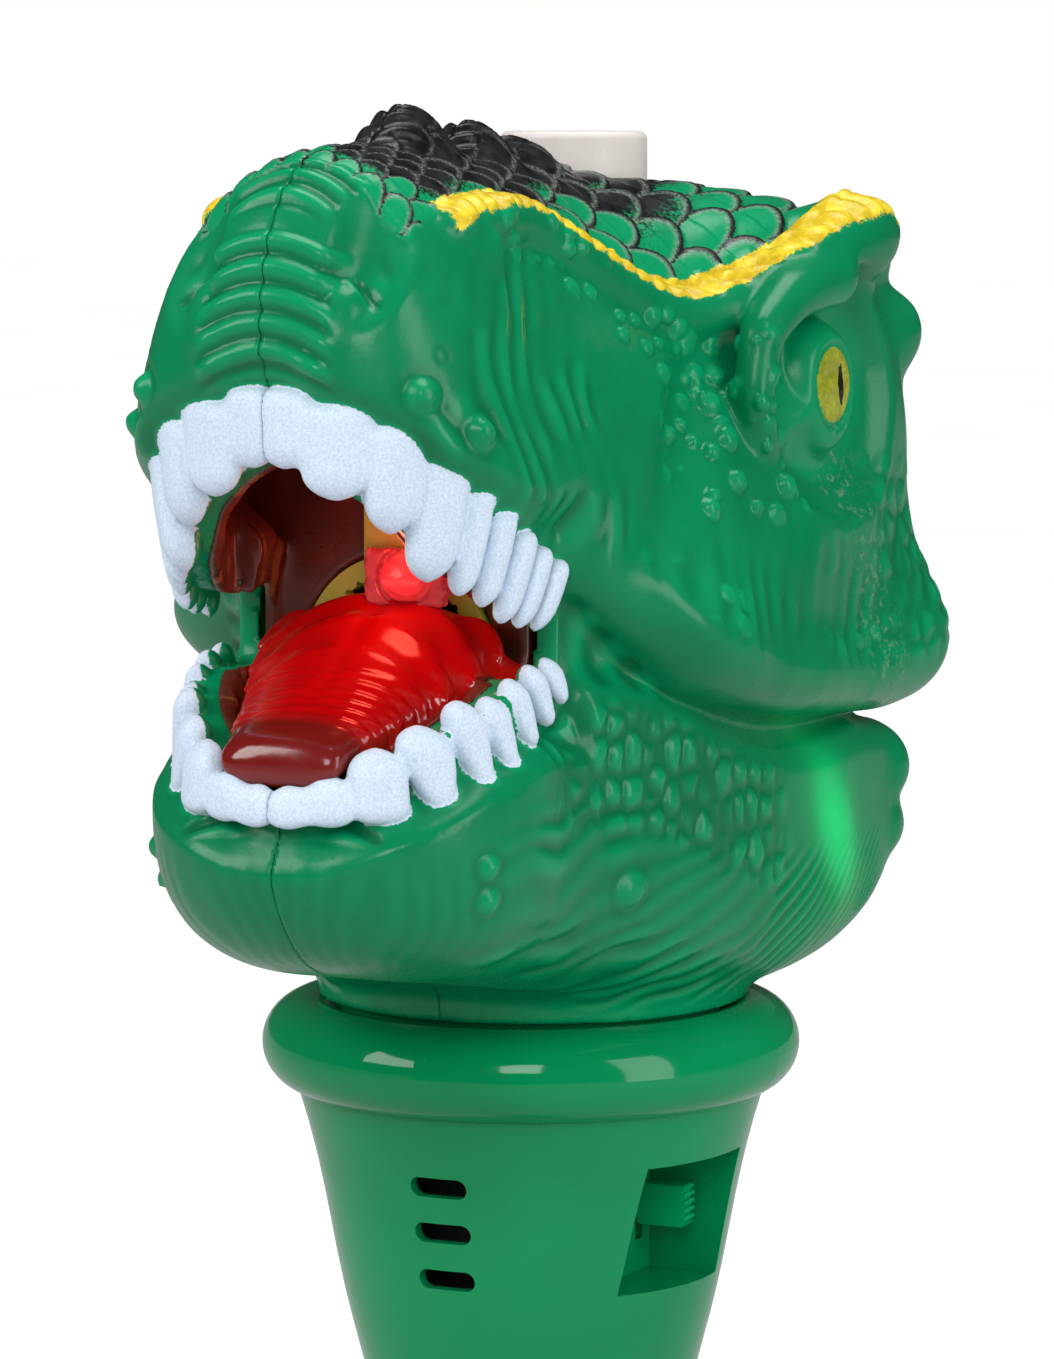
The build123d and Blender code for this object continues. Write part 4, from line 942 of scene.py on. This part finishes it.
def build_tongue():
    """The tongue, with a lumpy flange on its left side and a post below."""
    grid = Grid((-25, 48, 217), (25, 89, 254), 0.35)
    x, f, z = grid.x, grid.f, grid.z
    across = np.abs(x) + 0 * f
    half, thick = TONGUE_HALF(f), TONGUE_THICK(f)
    lumps = 0.5 * ridges(f + 0 * x, 2.7, 0.8) * step(52, 58, f) * (1 - step(74, 79, f))
    half = half + lumps
    centre = TONGUE_TOP(f) - thick
    share = across / half
    drop = centre - 3.2 * share ** 2 * step(84, 60, f) - z
    section = (share ** 2.3 + np.abs(drop / thick) ** 2.3 + 1e-9) ** (1 / 2.3) - 1
    body = section * thick * 0.95
    tip = np.hypot(np.maximum(f - TONGUE_FRONT + 4.5, 0), 0.75 * drop) - 4.3
    body = smooth_max(body, tip, 2.5)
    # The flange is lower than the tongue itself.
    flange_half = half + 4.4 * (1 - step(68, 82, f)) * step(-2, 2, x) + 0.9 * lumps
    flange = np.maximum(across - flange_half, np.abs(z - centre + 5.2 + 0.30 * (across - half)) - 1.6)
    flange = smooth_max(flange, f - 80, 2.0)
    body = smooth_min(body, flange, 2.2)
    body = smooth_max(body, TONGUE_REAR - f, 2.0)
    on_top = step(0.0, 2.0, -drop)
    fine = ridges(f + 0.006 * across ** 2 + 0.35 * noise(x, f, 0 * z, 7.0, 9), 2.2, 0.75)
    fine = fine * step(64, 69, f) * (1 - step(78.5, 81, f))
    broad = ridges(f - 0.022 * across ** 2 + 0.8 * noise(x, f, 0 * z, 9.0, 4), 6.4, 1.2)
    broad = broad * (1 - step(64, 69, f))
    groove = np.exp(-(across / 1.7) ** 2) * (1 - step(70, 79, f))
    body = body - on_top * (0.24 * fine + 0.6 * broad - 0.6 * groove)
    post = np.maximum(np.hypot(x, f - 62) - 4.0, np.maximum(218.7 - z, z - 240))
    body = smooth_min(body, post, 2.0)
    points, faces = grid.mesh(body)
    n = Nodes("tongue_plastic")
    tip = n.spread(n.axes()[1], -0.0815, -0.0775, 1.0, 0.0)
    cloud = n.noise(60, 3, 0.6, 0.5)
    red = n.shades(cloud, (0.36, 0.0012, 0.002), (0.50, 0.0015, 0.0025))
    tint = n.mix(tip, red, (0.16, 0.007, 0.006))
    rough = n.spread(n.noise(90, 4, 0.6), 0.3, 0.7, 0.12, 0.26)
    material = n.finish(tint, rough, n.bump(n.noise(420, 2), 0.00004), Coat_Weight=0.15, Coat_Roughness=0.08,
                        Subsurface_Weight=0.12, Subsurface_Scale=0.004)
    piece = make_object("ridged_tongue", points, faces, material)
    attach(piece, "housing")
    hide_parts("tongue")


def build_lens():
    """Pink window of the mouth lamp: a block with rounded corners and a dome over the lamp."""
    low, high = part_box("mouth_led_lens")
    centre = (low + high) * 500
    half = (high - low) * 500
    grid = Grid((centre.x - 9, -centre.y - 5, centre.z - 8), (centre.x + 9, -centre.y + 9, centre.z + 8), 0.3)
    x, f, z = grid.x - centre.x, grid.f + centre.y, grid.z - centre.z + 0.2 * half.z
    block = smooth_max(np.abs(z) - 0.8 * half.z, np.abs(f) - 0.75 * half.y, 0.8)
    block = smooth_max(np.abs(x) - 0.96 * half.x, block, 1.6)
    well = np.hypot(x, z) - 4.3
    block = smooth_max(block, -np.maximum(well, half.y * 0.75 - 1.0 - f), 0.5)
    dome = ellipsoid(x, f, z, (0, half.y * 0.35, 0), (3.6, 4.4, 3.6))
    facet = 0.35 * ridges(x + z, 3.2) * (1 - step(half.y * 0.3, half.y * 0.7, f))
    points, faces = grid.mesh(smooth_min(block + facet, dome, 0.6))
    n = Nodes("lens_plastic")
    cloud = n.noise(160, 3, 0.6, 0.4)
    tint = n.mix(n.spread(cloud, 0.35, 0.65), (0.52, 0.035, 0.05), (0.80, 0.13, 0.15))
    # Painted glow: the lens gives off a faint red light of its own for the lamp behind it, strongest where it
    # faces the view.
    facing = n.add("ShaderNodeLayerWeight", {"Blend": 0.35})["Facing"]
    glow = n.spread(facing, 0.1, 0.9, 0.10, 0.01)
    rough = n.spread(n.noise(220, 3), 0.3, 0.7, 0.06, 0.16)
    material = n.finish(tint, rough, n.bump(cloud, 0.0001), Transmission_Weight=0.65, IOR=1.49,
                        Emission_Color=(1.0, 0.10, 0.12), Emission_Strength=glow)
    piece = make_object("lamp_lens", points, faces, material)
    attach(piece, "housing")
    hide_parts("mouth_led_lens")


# ---------------------------------------------------------------- carried-over CAD pieces
def glossy_green(name, colour, shade, roughness):
    """Polished moulded green plastic."""
    n = Nodes(name)
    cloud = n.noise(16, 3, 0.6, 0.3)
    tint = n.shades(cloud, shade, colour)
    smear = n.noise(45, 5, 0.75, 1.4, (1, 1, 0.3))
    dust = n.noise(3200, 1)
    rough = n.spread(smear, 0.35, 0.75, roughness - 0.03, roughness + 0.07)
    rough = n.math("ADD", rough, n.spread(dust, 0.68, 0.74, 0, 0.25), clamp=True)
    relief = n.bump(n.noise(110, 2), 0.00006, 0.5)
    scratch = n.noise(360, 2, 0.5, 0, (1, 1, 0.06))
    relief = n.bump(n.spread(scratch, 0.7, 0.75), 0.00001, 0.3, relief)
    return n.finish(tint, rough, relief, Specular_IOR_Level=0.30)


def circuit_board():
    n = Nodes("board_laminate")
    cells = n.add("ShaderNodeTexVoronoi", {"Vector": n.place, "Scale": 900}, feature="DISTANCE_TO_EDGE")
    tracks = n.spread(cells["Distance"], 0.05, 0.09)
    cloud = n.noise(90, 3)
    green = n.shades(cloud, (0.004, 0.05, 0.02), (0.008, 0.09, 0.035))
    tint = n.mix(tracks, (0.02, 0.16, 0.06), green)
    return n.finish(tint, n.spread(cloud, 0.3, 0.7, 0.3, 0.45), n.bump(tracks, 0.00003))


def lamp_resin(name, colour, strength):
    n = Nodes(name)
    cloud = n.noise(240, 3)
    tint = n.shades(cloud, tuple(0.7 * c for c in colour), colour)
    glow = n.spread(cloud, 0.3, 0.7, strength * 0.8, strength)
    return n.finish(tint, n.spread(cloud, 0.3, 0.7, 0.08, 0.2), n.bump(cloud, 0.00003),
                    Emission_Color=colour, Emission_Strength=glow)


def cell_jacket():
    """Printed foil of a battery cell: a dark body and a coppery band, with fine wrinkles."""
    n = Nodes("cell_foil")
    band = n.spread(n.math("SINE", n.math("MULTIPLY", n.axes()[2], 124.0)), 0.55, 0.6)
    tint = n.mix(band, (0.012, 0.012, 0.014), (0.42, 0.20, 0.07))
    wrinkle = n.noise(420, 3, 0.6, 0.4)
    return n.finish(tint, n.spread(wrinkle, 0.3, 0.7, 0.2, 0.34), n.bump(wrinkle, 0.00003), Metallic=0.6)


def finish_cad_nodes():
    """Give every CAD piece that stays visible the material of its slot."""
    looks = {
        "green_handle": (glossy_green, "handle_plastic", (0.0002, 0.255, 0.086), (0.0002, 0.2, 0.064), 0.09),
        "knob_green": (glossy_green, "knob_plastic", (0.0004, 0.34, 0.125), (0.0003, 0.27, 0.095), 0.2),
        "lime_plastic": (moulded, "lime_plastic_fine", (0.50, 0.58, 0.07), (0.36, 0.45, 0.05), 0.3),
        "steel": (metal, "bright_steel", (0.56, 0.56, 0.57), 0.24),
        "white_acetal": (moulded, "gear_plastic", (0.78, 0.78, 0.75), (0.66, 0.66, 0.62), 0.42),
        "brass": (metal, "turned_brass", (0.72, 0.52, 0.2), 0.28, (1, 0.05, 1)),
        "motor_can": (metal, "plated_can", (0.62, 0.61, 0.6), 0.3, (1, 0.05, 1)),
        "inner_plastic": (moulded, "black_plastic", (0.045, 0.045, 0.05), (0.022, 0.022, 0.025), 0.45),
        "silicone": (moulded, "silicone_tube", (0.72, 0.73, 0.70), (0.58, 0.60, 0.57), 0.32,
                     {"Transmission_Weight": 0.4, "IOR": 1.42}),
        "tank_plastic": (moulded, "milky_plastic", (0.74, 0.76, 0.77), (0.62, 0.65, 0.67), 0.38,
                         {"Transmission_Weight": 0.25}),
        "white_cap": (moulded, "cap_plastic", (0.70, 0.66, 0.62), (0.60, 0.565, 0.53), 0.42,
                      {"Subsurface_Weight": 0.1, "Subsurface_Scale": 0.003}),
        "seal_rubber": (moulded, "seal_rubber_fine", (0.03, 0.03, 0.032), (0.015, 0.015, 0.016), 0.65),
        "led_resin": (lamp_resin, "red_lamp", (1.0, 0.16, 0.14), 0.9),
        "led_green": (lamp_resin, "green_lamp", (0.05, 1.0, 0.3), 1.5),
        "circuit_board": (circuit_board,),
        "switch_body": (metal, "switch_frame", (0.6, 0.6, 0.58), 0.34),
        "speaker_black": (moulded, "speaker_cone", (0.03, 0.03, 0.033), (0.014, 0.014, 0.015), 0.6),
        "cell_jacket": (cell_jacket,),
        "contact_nickel": (metal, "nickel_contact", (0.66, 0.64, 0.6), 0.26),
        "wire_jacket": (moulded, "wire_insulation", (0.55, 0.03, 0.03), (0.03, 0.03, 0.035), 0.4),
    }
    slots = {part["node"]: part["material_slot"] for part in frame["record"]["subparts"]}
    made = {}
    for name, piece in frame["nodes"].items():
        if piece.hide_render:
            continue
        key = slots[name]
        if key not in made:
            maker, *settings = looks[key]
            made[key] = maker(*settings)
        for place in piece.material_slots:
            place.material = made[key]


# ---------------------------------------------------------------- floor, light and camera
def build_floor():
    """A white sweep for the camera, which throws only a little of that light back on the object."""
    n = Nodes("floor_paint")
    cloud = n.noise(3, 3)
    tint = n.shades(cloud, (0.34, 0.34, 0.35), (0.38, 0.38, 0.38))
    shine = n.spread(n.add("ShaderNodeLightPath", {})["Is Camera Ray"], 0, 1, 0.16, 0.80)
    paint = n.finish(tint, n.spread(cloud, 0.3, 0.7, 0.7, 0.85), Emission_Color=(1, 1, 1),
                     Emission_Strength=shine, Specular_IOR_Level=0.1)
    reach = 9000
    corners = np.array([(-reach, reach), (reach, reach), (reach, -reach), (-reach, -reach)])
    corners = np.column_stack([corners, np.full(4, -0.5)])
    floor = make_object("floor", corners, [(0, 1, 2, 3)], paint)


def soft_light(name, place, aim_height, size, power):
    """A window-like lamp that faces the middle of the object at some height."""
    light = bpy.data.lights.new(name, "AREA")
    light.shape = "RECTANGLE"
    light.size = size[0]
    light.size_y = size[1]
    light.energy = power
    add_object(name, light, place, Vector((0, 0, aim_height)) - Vector(place))


def build_lights():
    """Windows around the object, a small lamp in the mouth and the light of the room."""
    world = bpy.data.worlds.new("studio")
    bpy.context.scene.world = world
    world.use_nodes = True
    nodes = world.node_tree.nodes
    links = world.node_tree.links
    path = nodes.new("ShaderNodeLightPath")
    level = nodes.new("ShaderNodeMath")
    level.operation = "MULTIPLY"
    # The camera sees a white room, reflections a dim one and everything else a soft one.
    rays = (("Is Camera Ray", 0.62, 1.0), ("Is Glossy Ray", 1.0, 0.07))  # strength of other rays and of these
    for socket, (ray, others, these) in zip(level.inputs, rays):
        share = nodes.new("ShaderNodeMapRange")
        share.inputs["To Min"].default_value = others
        share.inputs["To Max"].default_value = these
        links.new(path.outputs[ray], share.inputs["Value"])
        links.new(share.outputs[0], socket)
    background = nodes["Background"]
    background.inputs["Color"].default_value = (1, 1, 1, 1)
    links.new(level.outputs[0], background.inputs["Strength"])
    soft_light("window_left", (-0.60, -0.70, 0.75), 0.24, (0.40, 0.6), 5.0)
    soft_light("window_front", (0.35, -0.95, 0.70), 0.24, (0.30, 0.4), 3.0)
    soft_light("window_right", (0.95, -0.25, 0.50), 0.24, (0.40, 0.9), 4.5)
    soft_light("top", (0.0, 0.1, 1.1), 0.25, (0.5, 0.5), 4.0)
    glow = bpy.data.lights.new("mouth_glow", "POINT")
    glow.energy = 0.008
    glow.color = (1.0, 0.12, 0.08)
    glow.shadow_soft_size = 0.004
    add_object("mouth_glow", glow, (0.004, -0.062, 0.258))


def build_camera():
    """Camera a little above the object and 25 degrees round to its left side."""
    turn = math.radians(25)
    rise = math.radians(6)
    distance = 0.855
    aim = Vector((-0.00085, 0.0004, 0.2344))
    back = Vector((math.sin(turn) * math.cos(rise), -math.cos(turn) * math.cos(rise), math.sin(rise)))
    lens = bpy.data.cameras.new("camera")
    lens.sensor_fit = "VERTICAL"
    lens.sensor_height = 36
    lens.lens = 145.2
    bpy.context.scene.camera = add_object("camera", lens, aim + back * distance, -back)


# ---------------------------------------------------------------- the scene
for spare in ("Cube", "Light", "Camera"):
    if spare in bpy.data.objects:
        bpy.data.objects.remove(bpy.data.objects[spare])
bpy.context.scene.view_settings.view_transform = "Standard"
build_camera()
build_lights()
build_floor()
head_grid, head_outer, head_gape = build_head()
build_liner(head_grid, head_outer, head_gape)
build_tongue()
build_lens()
finish_cad_nodes()
